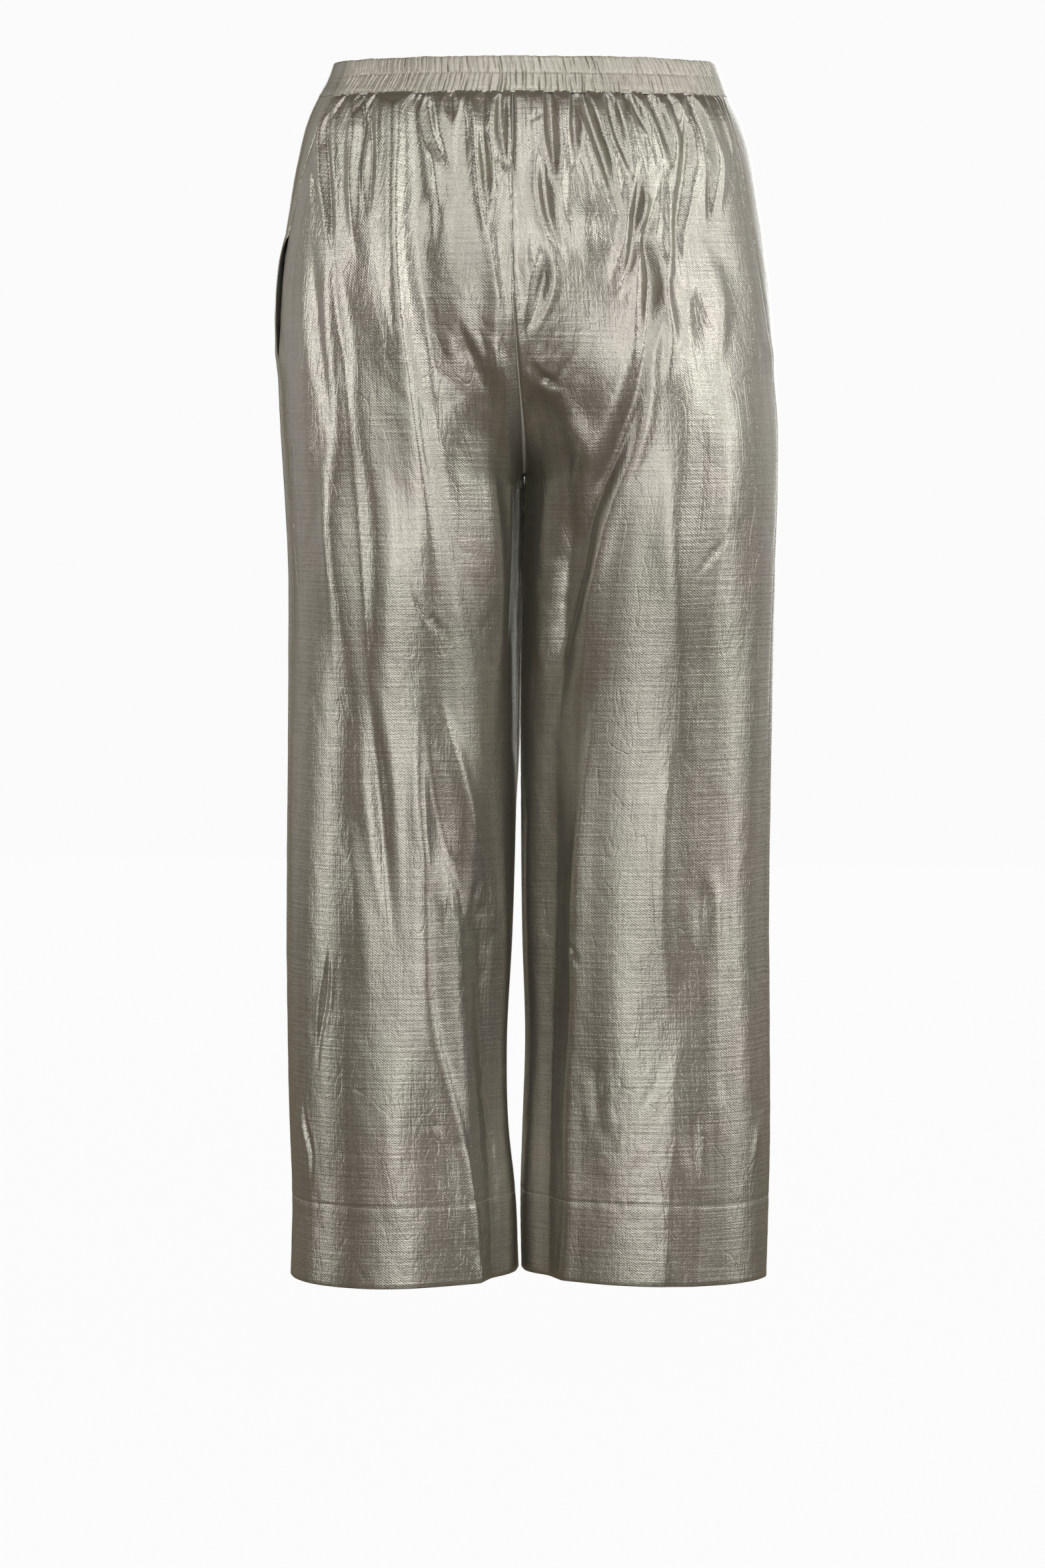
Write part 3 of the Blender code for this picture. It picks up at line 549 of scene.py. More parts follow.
class Panel:
    """One leg panel: a grid over the form, and the height of the cloth above it."""

    def __init__(self, side, face, columns, steps):
        self.side = side
        self.face = face
        self.drops = row_drops(steps)
        rows = self.drops[:, None]
        insets = np.stack([level_line(side, face, float(drop))[1] for drop in self.drops])
        self.girth = insets[:, :1]
        gape = gape_at(side, rows) * (GAPE_FRONT_SHARE if face == FRONT else 1 - GAPE_FRONT_SHARE)
        inwards = np.linspace(1, 0, columns + 1)[None, :]
        at_fork = np.interp(FORK_DROP, self.drops, self.girth[:, 0])
        lower = np.clip((rows - FORK_DROP) / (HEM_DROP - FORK_DROP), 0, 1)
        below = at_fork + (FOOT_MAIN * self.girth[-1, 0] - at_fork) * lower
        main = np.where(rows < FORK_DROP, self.girth, below)
        fork = np.clip((inwards - 1 + FORK_SHARE) / FORK_SHARE, 0, 1) ** 1.6
        self.inset = inwards * main + fork * (self.girth - main)
        first, last = leg_share(0, rows) * SEAM_GAP / 2, SEAM_GAP / 2 + gape
        self.inset = last + self.inset * (1 - (first + last) / self.girth)
        self.shares = np.stack([np.interp(-i, -line, FINE_SHARES) for i, line in zip(self.inset, insets)])
        self.drop = np.broadcast_to(rows, self.shares.shape)
        self.along = -self.inset
        self.height = np.zeros_like(self.shares)

    def on_cloth(self, path):
        """A path of (across, drop) as (along, drop). along is 0 at the side seam and less inwards."""
        line = []
        for across, drop in smooth_path(path):
            reaches, insets = level_line(self.side, self.face, round(float(drop), 1))
            line.append((-float(np.interp(across, reaches, insets)), float(drop)))
        return np.array(line)

    def add_crease(self, crease):
        line = self.on_cloth(crease.path)
        widest = 3.2 * max(crease.width, crease.foot_width) * max(crease.steep, 1 / crease.steep) ** 0.5
        near = (self.drop > line[:, 1].min() - widest) & (self.drop < line[:, 1].max() + widest)
        near &= (self.along > line[:, 0].min() - widest) & (self.along < line[:, 0].max() + widest)
        away, passed = from_path(line, self.along[near], self.drop[near])
        from_waist = crease.path[0][1] < AT_EDGE
        rise = 0.6 + 0.4 * smooth_step(passed / 0.2) if from_waist else smooth_step(passed / 0.42)
        to_hem = crease.path[-1][1] > HEM_DROP - AT_EDGE
        fade = 1 - 0.5 * passed if to_hem else 1 - smooth_step((passed - 0.42) / 0.58)
        width = crease.width + (crease.foot_width - crease.width) * passed
        width *= 0.55 + 0.45 * rise * fade
        reach = np.where(away < 0, width / math.sqrt(crease.steep), width * math.sqrt(crease.steep))
        x = np.abs(away / reach)
        profile = (1 + x * x / 1.6) ** -2.2
        if crease.depth < 0:
            profile = profile - 0.25 * np.exp(-(((x - 1.9) / 0.75) ** 2))
        self.height[near] += crease.depth * rise * fade * profile

    def add_gathers(self, seed):
        """The small pleats under the elastic, of uneven width and length."""
        rng = np.random.default_rng(seed)
        place, end = 5.0, float(self.girth[0, 0]) - 4.0
        while place < end:
            width = rng.uniform(1.0, 1.7)
            lengths = [rng.uniform(6, 15), rng.uniform(15, 32), rng.uniform(32, 60)]
            length = rng.choice(lengths, p=[0.66, 0.3, 0.04])
            depth = rng.uniform(0.9, 1.8) * (0.8 + 0.5 * (length > 15))
            drift = rng.uniform(-0.14, 0.14)
            centre = place * self.girth / self.girth[0, 0] + drift * self.drop
            away = (self.inset - centre) / (width * (1 + self.drop / 60))
            fade = (1 - smooth_step(self.drop / length)) ** 0.8
            self.height -= depth * fade * np.exp(-(away**2))
            place += rng.uniform(3.2, 6.2)

    def add_crushes(self, seed):
        """Crinkled patches, and a fine unevenness all over."""
        x, y = self.along, self.drop
        for number, crush in enumerate(CRUSHES[(self.side, self.face)]):
            middle = self.on_cloth([(crush.across, crush.drop - 1), (crush.across, crush.drop + 1)])[0]
            near = np.exp(-(((x - middle[0]) / crush.reach) ** 2) - ((y - crush.drop) / crush.fall) ** 2)
            self.height += crush.depth * near * crinkles((x + 0.35 * y) / 9, y / 17, seed + 7 * number)
        self.height += 0.2 * cloth_noise(x / 19, y / 90, seed + 90)
        self.height += 0.12 * cloth_noise((x + 0.5 * y) / 8, y / 21, seed + 91)
        straight = crinkles((x - 0.7 * y) / 34, (y + 0.4 * x) / 60, seed + 92)
        self.height += 0.18 * straight * smooth_step((y - 60) / 120)

    def quieten(self):
        """Folds die out at the seams, where two panels are sewn together."""
        from_centre = self.girth - self.inset
        centre_quiet = CENTRE_QUIET + (INSEAM_QUIET - CENTRE_QUIET) * leg_share(0, self.drops[:, None])
        self.height *= smooth_step(self.inset / SEAM_QUIET) * smooth_step(from_centre / centre_quiet)

    def add_seams(self, seed):
        """The sewn edges, rolled in, with puckers beside them, and the left pocket's lifted edge."""
        from_side, from_centre = self.inset, self.girth - self.inset
        for from_seam, pucker, number in ((from_side, SIDE_PUCKER, 1), (from_centre, CENTRE_PUCKER, 2)):
            self.height -= SEAM_ROLL * np.exp(-((from_seam / SEAM_ROLL_WIDTH) ** 2))
            waves = cloth_noise(self.drop / 5.5, from_seam * 0, seed + number)
            self.height += pucker * waves * np.exp(-((from_seam / 5) ** 2)) * smooth_step(from_seam / 2)
        if self.face == BACK:
            length = 1 - smooth_step((self.drop - WELT_FOOT) / WELT_FADE)
            welt = np.exp(-(((from_side - 2.4) / 1.3) ** 2)) + 0.6 * np.exp(-(((from_side - 7.4) / 1.2) ** 2))
            self.height += WELT * welt * length * (self.side == RIGHT)
        lifted = GAPE_BULGE * gape_at(self.side, self.drop) / GAPE * (self.face == FRONT)
        tack = TACK_BULGE * np.exp(-(((self.drop - POCKET_FOOT + 3) / 12) ** 2))
        self.height += (lifted + tack) * np.exp(-((from_side / 16) ** 2))

    def add_hem(self, seed):
        """The groove of the hem stitching, drawn up a little between stitches."""
        from_stitch = self.drop - HEM_STITCH_DROP
        self.height -= HEM_GROOVE * np.exp(-((from_stitch / HEM_GROOVE_WIDTH) ** 2))
        drawn = cloth_noise(self.along / 6.5, from_stitch / 30, seed)
        self.height += HEM_DRAWN * drawn * np.exp(-((np.abs(from_stitch) / 9) ** 1.5))

    def from_to(self, drops):
        """For each point, 0 above the first drop and 1 below the second, and smooth between."""
        return smooth_step((self.drop[..., None] - drops[0]) / (drops[1] - drops[0]))

    def settle(self, steps):
        """Lets the cloth hang: it keeps its lengths, leans on the form and stays near its folds."""
        form = form_point(self.side, self.face, self.shares, self.drop)
        normal = form_normal(self.side, self.face, self.shares, self.drop)
        over_pocket = 1 - smooth_step((self.drop - POCKET_FOOT - POCKET_SAG) / BELOW_POCKET_FADE)
        over_pocket *= 1 - smooth_step((self.inset - POCKET_REACH) / BESIDE_POCKET_FADE)
        over_pocket *= self.face == FRONT
        sunk = SUNK + (SUNK_OVER_POCKET - SUNK) * over_pocket
        at_band = 1 - smooth_step(self.drop / PLEATS_OPEN)
        sunk += (np.minimum(sunk, SUNK_AT_BAND) - sunk) * at_band
        raised = RAISED + (RAISED_AT_BAND - RAISED) * at_band
        wanted = form + normal * np.clip(self.height, -sunk, raised)[..., None]
        across, down = np.diff(form, axis=1), np.diff(form, axis=0)
        spans = np.linalg.norm(across, axis=-1)
        folded = np.maximum(np.linalg.norm(np.diff(wanted, axis=1), axis=-1) / spans - 1, 0)
        for again in range(2):
            folded = spread(spread(folded, FOLDS_SPREAD).T, FOLDS_SPREAD).T
        patchy = 1 + 0.8 * cloth_noise(self.along[:, 1:] / 26, self.drop[:, 1:] / 40, 12)
        gathered = GATHERED * (1 - smooth_step(self.drop[:, 1:] / GATHERED_FOOT)) * (self.face == BACK)
        full = 1 + folded + gathered * patchy + EASE
        rest_across = spans * full
        wide = across * full[..., None]
        rest_down = np.linalg.norm(down, axis=-1)
        rest_right = np.linalg.norm(down[:, :-1] + wide[1:], axis=-1)
        rest_left = np.linalg.norm(down[:, 1:] - wide[1:], axis=-1)
        rest_sag = rest_down[:-1] + rest_down[1:]
        pad = np.zeros((len(rest_left), 1))
        rest_left = np.concatenate([pad, rest_left], axis=1)
        free = np.ones(self.shares.shape)
        free[0] = free[:, 0] = free[:, -1] = 0
        precise = (form, normal, wanted, free, rest_across, rest_down, rest_right, rest_left, rest_sag)
        form, normal, wanted, free, rest_across, rest_down, rest_right, rest_left, rest_sag = (
            values.astype(np.float32) for values in precise
        )
        points, before = wanted.copy(), wanted.copy()
        moving = free[..., None]
        held = HELD + (HELD_LEGS - HELD) * self.from_to(HELD_DROPS)
        held = held.astype(np.float32)
        for step in range(steps):
            moved = (points - before) * DRAG
            moved[..., 2] -= WEIGHT_OF_CLOTH
            before = points.copy()
            points += (moved + (wanted - points) * held) * moving
            for again in range(2):
                for reach in BEND_REACHES:
                    pull(points, free, (0, reach), rest_across * reach, BEND)
                pull(points, free, (2, 0), rest_sag, BEND)
                pull(points, free, (1, 1), rest_right, SLANT)
                pull(points, free, (1, -1), rest_left, SLANT)
                pull(points, free, (0, 1), rest_across, 1.0)
                pull(points, free, (1, 0), rest_down, 1.0)
            out = ((points - form) * normal).sum(axis=-1)
            kept = np.clip(out, -sunk, raised)
            points += normal * ((kept - out) * free)[..., None]
        settled = SETTLED + (SETTLED_LEGS - SETTLED) * self.from_to(SETTLED_DROPS)
        self.points = wanted + (points - wanted) * settled
        starts = np.zeros((len(self.drops), 1))
        self.around = np.concatenate([starts, np.cumsum(rest_across, axis=1)], axis=1)

    def shape(self, seed):
        """All the cloth's forms, in the order that they are laid on."""
        for crease in CREASES[self.face][self.side]:
            self.add_crease(crease)
        if self.face == BACK:
            self.add_gathers(seed + 1)
            puff = smooth_step((self.drop + 1.5) / 4) * (1 - smooth_step((self.drop - 10) / 72))
            self.height += GATHER_PUFF * puff
        self.height += SOFT_WAVES * cloth_noise(self.along / 24, self.drop / 120, seed + 9)
        long_waves = cloth_noise(self.along / 50, self.drop / 340, seed + 8)
        self.height += LONG_WAVES * long_waves * smooth_step((self.drop - 40) / 120)
        self.quieten()
        self.settle(SETTLE_STEPS)
        self.height = np.zeros_like(self.shares)
        self.add_crushes(seed)
        self.quieten()
        self.add_seams(seed + 2)
        self.add_hem(seed + 3)

    def walls(self):
        """The outside and inside points, the inside being the cloth's thickness in."""
        across, down = np.gradient(self.points, axis=1), np.gradient(self.points, axis=0)
        normal = np.cross(across, down) * self.side * self.face
        normal /= np.linalg.norm(normal, axis=-1, keepdims=True)
        outside = self.points + normal * self.height[..., None]
        middle, half_gap = size_at("middle", self.drop), size_at("gap", self.drop) / 2
        from_middle = np.maximum(self.side * (outside[..., 0] - middle), half_gap)
        near = np.exp(-((from_middle / TOUCH_REACH) ** 2))
        touching = smooth_step((self.drop - CROTCH_DROP + 12) / 24)
        touching *= 1 - smooth_step((self.drop - TOUCH_FOOT) / TOUCH_FADE)
        lean = TOUCH_LEAN * np.tanh(outside[..., 1] / TOUCH_DEPTH) * near * touching
        outside[..., 0] = middle + self.side * from_middle + lean
        turned = smooth_step((self.drop - HEM_STITCH_DROP + 1.5) / 1.5)
        wall = SATIN + (TURNED_HEM - SATIN) * turned
        return outside, outside - normal * wall[..., None]


def linear(hex_colour):
    """An sRGB hex colour as linear values."""
    values = [int(hex_colour[i : i + 2], 16) / 255 for i in (1, 3, 5)]
    return tuple(v / 12.92 if v <= 0.04045 else ((v + 0.055) / 1.055) ** 2.4 for v in values) + (1.0,)


def add_node(tree, kind, settings=None, **links):
    """A node with its settings. Each link is named by its socket, with a value or a socket to join."""
    node = tree.nodes.new(kind)
    for name, value in (settings or {}).items():
        setattr(node, name, value)
    for name, value in links.items():
        socket = node.inputs[int(name[1:])] if name[0] == "_" else node.inputs[name.replace("_", " ")]
        if isinstance(value, bpy.types.NodeSocket):
            tree.links.new(value, socket)
        else:
            socket.default_value = value
    return node


def new_material(name):
    """An empty material: its tree and its shader."""
    material = bpy.data.materials.new(name)
    material.use_nodes = True
    tree = material.node_tree
    return material, tree, tree.nodes["Principled BSDF"]


# The twill as it is drawn, in metres, and the wave texture's scale for one band a metre.
TWILL_PITCH = 0.0015
ONE_BAND_A_METRE = 0.314


def satin_material(name, face_out, roughness=(0.26, 0.36), paler=0.0, metallic=0.85):
    """Silk satin, woven with a sage warp and a taupe weft, so that it turns from grey green to brown.

    The long floats of the warp show as fine slanting lines. They are 0.9 mm apart on the real cloth,
    too fine for the picture, and are drawn 1.5 mm apart and faint. The wrong side is duller.
    """
    material, tree, shader = new_material(name)
    place = add_node(tree, "ShaderNodeUVMap", {"uv_map": "cloth"}).outputs["UV"]
    twill_space = add_node(tree, "ShaderNodeMapping", Vector=place, Rotation=(0, 0, math.radians(-52)))
    twill = add_node(
        tree, "ShaderNodeTexWave", {"bands_direction": "X"},
        Vector=twill_space.outputs[0], Scale=ONE_BAND_A_METRE / TWILL_PITCH,
        Distortion=1.6, Detail=2.0, Detail_Scale=2.0,
    ).outputs["Fac"]
    # Noise over the cloth, each with its scale across and along, and its detail.
    noises = []
    for across, down, detail in ((620, 14, 3.0), (16, 420, 3.0), (170, 2.2, 3.0), (420, 170, 2.0)):
        space = add_node(tree, "ShaderNodeMapping", Vector=place, Scale=(across, down, 1)).outputs[0]
        noise = add_node(tree, "ShaderNodeTexNoise", Vector=space, Scale=1.0, Detail=detail)
        noises.append(noise.outputs[0])
    streaks, slubs, bands, blotches = noises
    clouds = add_node(tree, "ShaderNodeTexNoise", Vector=place, Scale=9.0, Detail=3.0).outputs[0]
    grain = add_node(tree, "ShaderNodeTexNoise", Vector=place, Scale=900.0, Detail=2.0).outputs[0]

    cloudy = add_node(tree, "ShaderNodeMapRange", Value=clouds, From_Min=0.38, From_Max=0.62).outputs[0]
    warp = add_node(
        tree, "ShaderNodeMix", {"data_type": "RGBA"}, _0=cloudy, _6=linear("#9b958b"), _7=linear("#99968a")
    ).outputs[2]
    shade = 0.82
    for layer, share in ((twill, 0.13), (streaks, 0.22), (slubs, 0.24), (grain, 0.34), (bands, 0.36)):
        shade = add_node(
            tree, "ShaderNodeMath", {"operation": "MULTIPLY_ADD"}, _0=layer, _1=share, _2=shade
        ).outputs[0]
    # paler lifts the whole base colour: painted light, so that a duller copy looks as brightly lit as the
    # face
    shade = add_node(tree, "ShaderNodeMath", {"operation": "SUBTRACT"}, _0=shade, _1=0.53 - paler).outputs[0]
    colour = add_node(tree, "ShaderNodeVectorMath", {"operation": "SCALE"}, _0=warp, Scale=shade).outputs[0]
    tree.links.new(colour, shader.inputs["Base Color"])

    relief = streaks
    for layer, share in ((twill, 0.3), (slubs, 1.6), (grain, 0.9), (blotches, 1.3)):
        relief = add_node(
            tree, "ShaderNodeMath", {"operation": "MULTIPLY_ADD"}, _0=layer, _1=share, _2=relief
        ).outputs[0]
    for turn, scale in ((24, (34.0, 13.0, 1.0)), (-40, (52.0, 17.0, 1.0))):
        slanted = add_node(
            tree, "ShaderNodeMapping", Vector=place, Rotation=(0, 0, math.radians(turn)), Scale=scale
        ).outputs[0]
        hills = add_node(
            tree, "ShaderNodeTexNoise", Vector=slanted, Scale=1.0, Detail=2.0, Distortion=0.5
        ).outputs[0]
        patches = add_node(tree, "ShaderNodeTexNoise", Vector=slanted, Scale=0.9, Detail=1.0).outputs[1]
        patches = add_node(
            tree, "ShaderNodeMapRange", Value=patches, From_Min=0.48, From_Max=0.62
        ).outputs[0]
        away = add_node(tree, "ShaderNodeMath", {"operation": "SUBTRACT"}, _0=hills, _1=0.5).outputs[0]
        away = add_node(tree, "ShaderNodeMath", {"operation": "ABSOLUTE"}, _0=away).outputs[0]
        pressed = add_node(
            tree, "ShaderNodeMapRange", Value=away, From_Max=0.02, To_Min=-0.7, To_Max=0.0
        ).outputs[0]
        relief = add_node(
            tree, "ShaderNodeMath", {"operation": "MULTIPLY_ADD"}, _0=pressed, _1=patches, _2=relief
        ).outputs[0]
    bump = add_node(tree, "ShaderNodeBump", Height=relief, Strength=0.4, Distance=0.0004).outputs[0]
    tree.links.new(bump, shader.inputs["Normal"])

    if face_out:
        rough = add_node(
            tree, "ShaderNodeMapRange", Value=streaks, To_Min=roughness[0], To_Max=roughness[1]
        ).outputs[0]
        tree.links.new(rough, shader.inputs["Roughness"])
        shader.inputs["Metallic"].default_value = metallic
        shader.inputs["IOR"].default_value = 1.55
        along_warp = add_node(tree, "ShaderNodeTangent", {"direction_type": "UV_MAP", "uv_map": "cloth"})
        tree.links.new(along_warp.outputs[0], shader.inputs["Tangent"])
        shader.inputs["Anisotropic"].default_value = 0.6
        shader.inputs["Anisotropic Rotation"].default_value = 0.25
        shader.inputs["Sheen Weight"].default_value = 0.12
        shader.inputs["Sheen Roughness"].default_value = 0.4
        shader.inputs["Sheen Tint"].default_value = linear("#d8d4b4")
    else:
        shader.inputs["Roughness"].default_value = 0.78
        shader.inputs["Sheen Weight"].default_value = 0.1
    return material


def pocketing_material():
    """The bags are the same silk, wrong side out: dull, with a plain fine weave."""
    material, tree, shader = new_material("silk_pocketing")
    place = add_node(tree, "ShaderNodeTexCoord").outputs["Object"]
    weave_space = add_node(tree, "ShaderNodeMapping", Vector=place, Scale=(700, 700, 160))
    weave = add_node(tree, "ShaderNodeTexNoise", Vector=weave_space.outputs[0], Detail=2.0).outputs[0]
    colour = add_node(
        tree, "ShaderNodeMix", {"data_type": "RGBA"}, _0=weave, _6=linear("#6f6857"), _7=linear("#8d8571")
    ).outputs[2]
    tree.links.new(colour, shader.inputs["Base Color"])
    bump = add_node(tree, "ShaderNodeBump", Height=weave, Strength=0.3, Distance=0.0003).outputs[0]
    tree.links.new(bump, shader.inputs["Normal"])
    shader.inputs["Roughness"].default_value = 0.8
    return material


def thread_material():
    """Spun polyester thread, a little paler than the cloth, with its twist as a fine slant."""
    material, tree, shader = new_material("sewing_thread")
    place = add_node(tree, "ShaderNodeTexCoord").outputs["Object"]
    twist = add_node(tree, "ShaderNodeTexNoise", Vector=place, Scale=2600.0, Detail=1.0).outputs[0]
    colour = add_node(
        tree, "ShaderNodeMix", {"data_type": "RGBA"}, _0=twist, _6=linear("#97948a"), _7=linear("#b5b3a6")
    ).outputs[2]
    tree.links.new(colour, shader.inputs["Base Color"])
    shader.inputs["Roughness"].default_value = 0.5
    return material


def studio_material():
    """White studio paper, whose white is its own even light, so that no shade falls on it."""
    material, tree, shader = new_material("studio_paper")
    shader.inputs["Base Color"].default_value = linear("#181818")
    shader.inputs["Roughness"].default_value = 1.0
    shader.inputs["Specular IOR Level"].default_value = 0.0
    shader.inputs["Emission Color"].default_value = (1.0, 1.0, 1.0, 1.0)
    shader.inputs["Emission Strength"].default_value = 0.96
    return material


def new_piece(name, points, faces, materials, uvs=None, face_slots=None):
    """A smooth mesh from points in millimetres, with its faces turned outwards."""
    mesh = bpy.data.meshes.new(name)
    mesh.from_pydata((np.asarray(points) * MM).tolist(), [], faces)
    for material in materials:
        mesh.materials.append(material)
    if face_slots is not None:
        mesh.polygons.foreach_set("material_index", face_slots)
    if uvs is not None:
        corners = np.zeros(len(mesh.loops), int)
        mesh.loops.foreach_get("vertex_index", corners)
        layer = mesh.uv_layers.new(name="cloth")
        layer.data.foreach_set("uv", (np.asarray(uvs)[corners] * MM).ravel())
    made = bpy.data.objects.new(name, mesh)
    bpy.context.scene.collection.objects.link(made)
    turned = bmesh.new()
    turned.from_mesh(mesh)
    if turned.calc_volume(signed=True) < 0:
        bmesh.ops.reverse_faces(turned, faces=turned.faces)
    turned.to_mesh(mesh)
    turned.free()
    mesh.shade_smooth()
    mesh.set_sharp_from_angle(angle=math.radians(60))
    return made


def turn_outwards(piece):
    """Makes a closed piece's faces agree and face outwards."""
    turned = bmesh.new()
    turned.from_mesh(piece.data)
    bmesh.ops.recalc_face_normals(turned, faces=turned.faces)
    if turned.calc_volume(signed=True) < 0:
        bmesh.ops.reverse_faces(turned, faces=turned.faces)
    turned.to_mesh(piece.data)
    turned.free()


def ring_faces(count, columns):
    """Quads between rows of points, each row as long as the others, and the last joined to the first."""
    faces = []
    for row in range(count):
        a, b = row * columns, (row + 1) % count * columns
        faces += [(a + i, a + i + 1, b + i + 1, b + i) for i in range(columns - 1)]
    return faces


def tube_faces(count, columns):
    """The same, with both ends closed."""
    ends = [[row * columns + end for row in range(count)] for end in (0, columns - 1)]
    return ring_faces(count, columns) + ends


def add_panel(name, panel, materials):
    """The closed shell of a panel: its face, its turned edge and its wrong side, which is coarser."""
    outside, inside = panel.walls()
    inside = inside[::2]
    rows, columns = panel.shares.shape
    out_foot, in_foot = outside[-1], inside[-1]
    middle, half = (out_foot + in_foot) / 2, (out_foot - in_foot) / 2
    down = np.array([0, 0, -1.0]) * np.linalg.norm(half, axis=1, keepdims=True)
    turns = (math.pi / 4, math.pi / 2, 3 * math.pi / 4)
    rim = [middle + half * math.cos(turn) + down * math.sin(turn) for turn in turns]
    points = np.concatenate([outside.reshape(-1, 3)] + rim + [inside[::-1].reshape(-1, 3)])
    count = rows + len(rim) + len(inside)
    faces = ring_faces(count, columns)
    slots = np.zeros(len(faces), int)
    slots[(rows + 1) * (columns - 1) :] = 1
    for column in (0, columns - 1):
        for row in range(0, rows - 1, 2):
            mate = count - 1 - row // 2
            faces.append(tuple(r * columns + column for r in (row, row + 1, row + 2, mate - 1, mate)))
        faces.append(tuple(r * columns + column for r in range(rows - 1, rows + len(rim) + 1)))
    slots = np.concatenate([slots, np.zeros(len(faces) - len(slots), int)])

    around = (panel.around - panel.around[:, columns // 2][:, None]) * -panel.side * panel.face
    place = np.stack([around, -panel.drop], axis=-1)
    rim_places = [place[-1]] * len(rim)
    uvs = np.concatenate([place.reshape(-1, 2)] + rim_places + [place[::-2].reshape(-1, 2)])
    made = new_piece(name, points, faces, materials, uvs, slots)
    turn_outwards(made)
    return made


def add_allowance(name, panels, column, top, foot, material):
    """The two panels' own edges, pressed open inside the seam between them."""
    rows = [i for i, drop in enumerate(panels[0].drops) if top <= drop <= foot][::2]
    lines = []
    for panel, way in zip(panels, (1, -1)):
        outside, inside = panel.walls()
        inwards = inside - outside
        inwards /= np.linalg.norm(inwards, axis=-1, keepdims=True)
        passed = np.abs(panel.inset - panel.inset[:, column][:, None])
        drops = panel.drops
        for reach in ALLOWANCE_REACHES[::way]:
            picked = np.argmin(np.abs(passed - reach), axis=1)
            line = inside[np.arange(len(drops)), picked]
            lift = inwards[np.arange(len(drops)), picked]
            wanted = panels[0].drops[rows]
            lines.append([
                np.stack([np.interp(wanted, drops, (line + lift * depth)[:, k]) for k in range(3)], axis=-1)
                for depth in (ALLOWANCE_CLEAR, ALLOWANCE_CLEAR + ALLOWANCE_WALL)
            ])
    points = np.array([near for near, far in lines] + [far for near, far in lines[::-1]])
    count, length = points.shape[:2]
    return new_piece(name, points.reshape(-1, 3), tube_faces(count, length), [material])


# The elastic waistband. A rib is one gather of the casing over the elastic, with a narrow valley
# to each side of it.
RIB_PITCH = 3.3
RIB_DEPTH = 0.95
BAND_COLUMNS = 1300
GROOVE = -BAND_HEIGHT / 2 + BAND_LOWER_CHANNEL
RUFFLE_FOOT = -BAND_HEIGHT / 2 - 1.4
RUFFLE_STITCH = -BAND_HEIGHT / 2 + 1.2
BAND_OUTER_ROWS = 30
BAND_INNER_ROWS = 8


def band_point(side, face, share, height, out):
    """A point of the waistband, so far out from the form that it shares with the panels."""
    drop = np.clip(-SEAM_GAP - BAND_HEIGHT / 2 - height, BAND_TOP_DROP, None)
    normal = form_normal(side, face, share, drop) * (1, 1, 0)
    normal /= np.linalg.norm(normal, axis=-1, keepdims=True)
    point = form_point(side, face, share, drop)
    point[..., 2] = height
    return point + normal * np.asarray(out)[..., None]


def gathered(around, height, seed, lean):
    """The ribs of one channel, from 0 on their tops to about -1 in the valleys between them. height
    runs from -1 to 1 over the channel."""
    rng = np.random.default_rng(seed)
    valleys = [-6.0]
    while valleys[-1] < around.max() + 6:
        pitches = [rng.uniform(0.4, 0.7), rng.uniform(0.8, 1.7)]
        valleys.append(valleys[-1] + RIB_PITCH * rng.choice(pitches, p=[0.35, 0.65]))
    valleys = np.array(valleys)
    depths = rng.uniform(0.25, 1.25, len(valleys))
    widths = rng.uniform(0.34, 0.62, len(valleys))
    tilts = rng.uniform(-1.1, 1.1, len(valleys))
    place = around + lean * height * 6 + 0.6 * cloth_noise(around / 9, height * 1.2, seed + 5)
    i = np.clip(np.searchsorted(valleys, place) - 1, 0, len(valleys) - 2)
    out = 0
    for j in (i, i + 1):
        longer = np.clip(1 + tilts[j] * height, 0, 1.4)
        out = out - depths[j] * longer * np.exp(-(((place - valleys[j]) / widths[j]) ** 2))
    t = (place - valleys[i]) / (valleys[i + 1] - valleys[i])
    return out - 0.16 * (2 * t - 1) ** 2


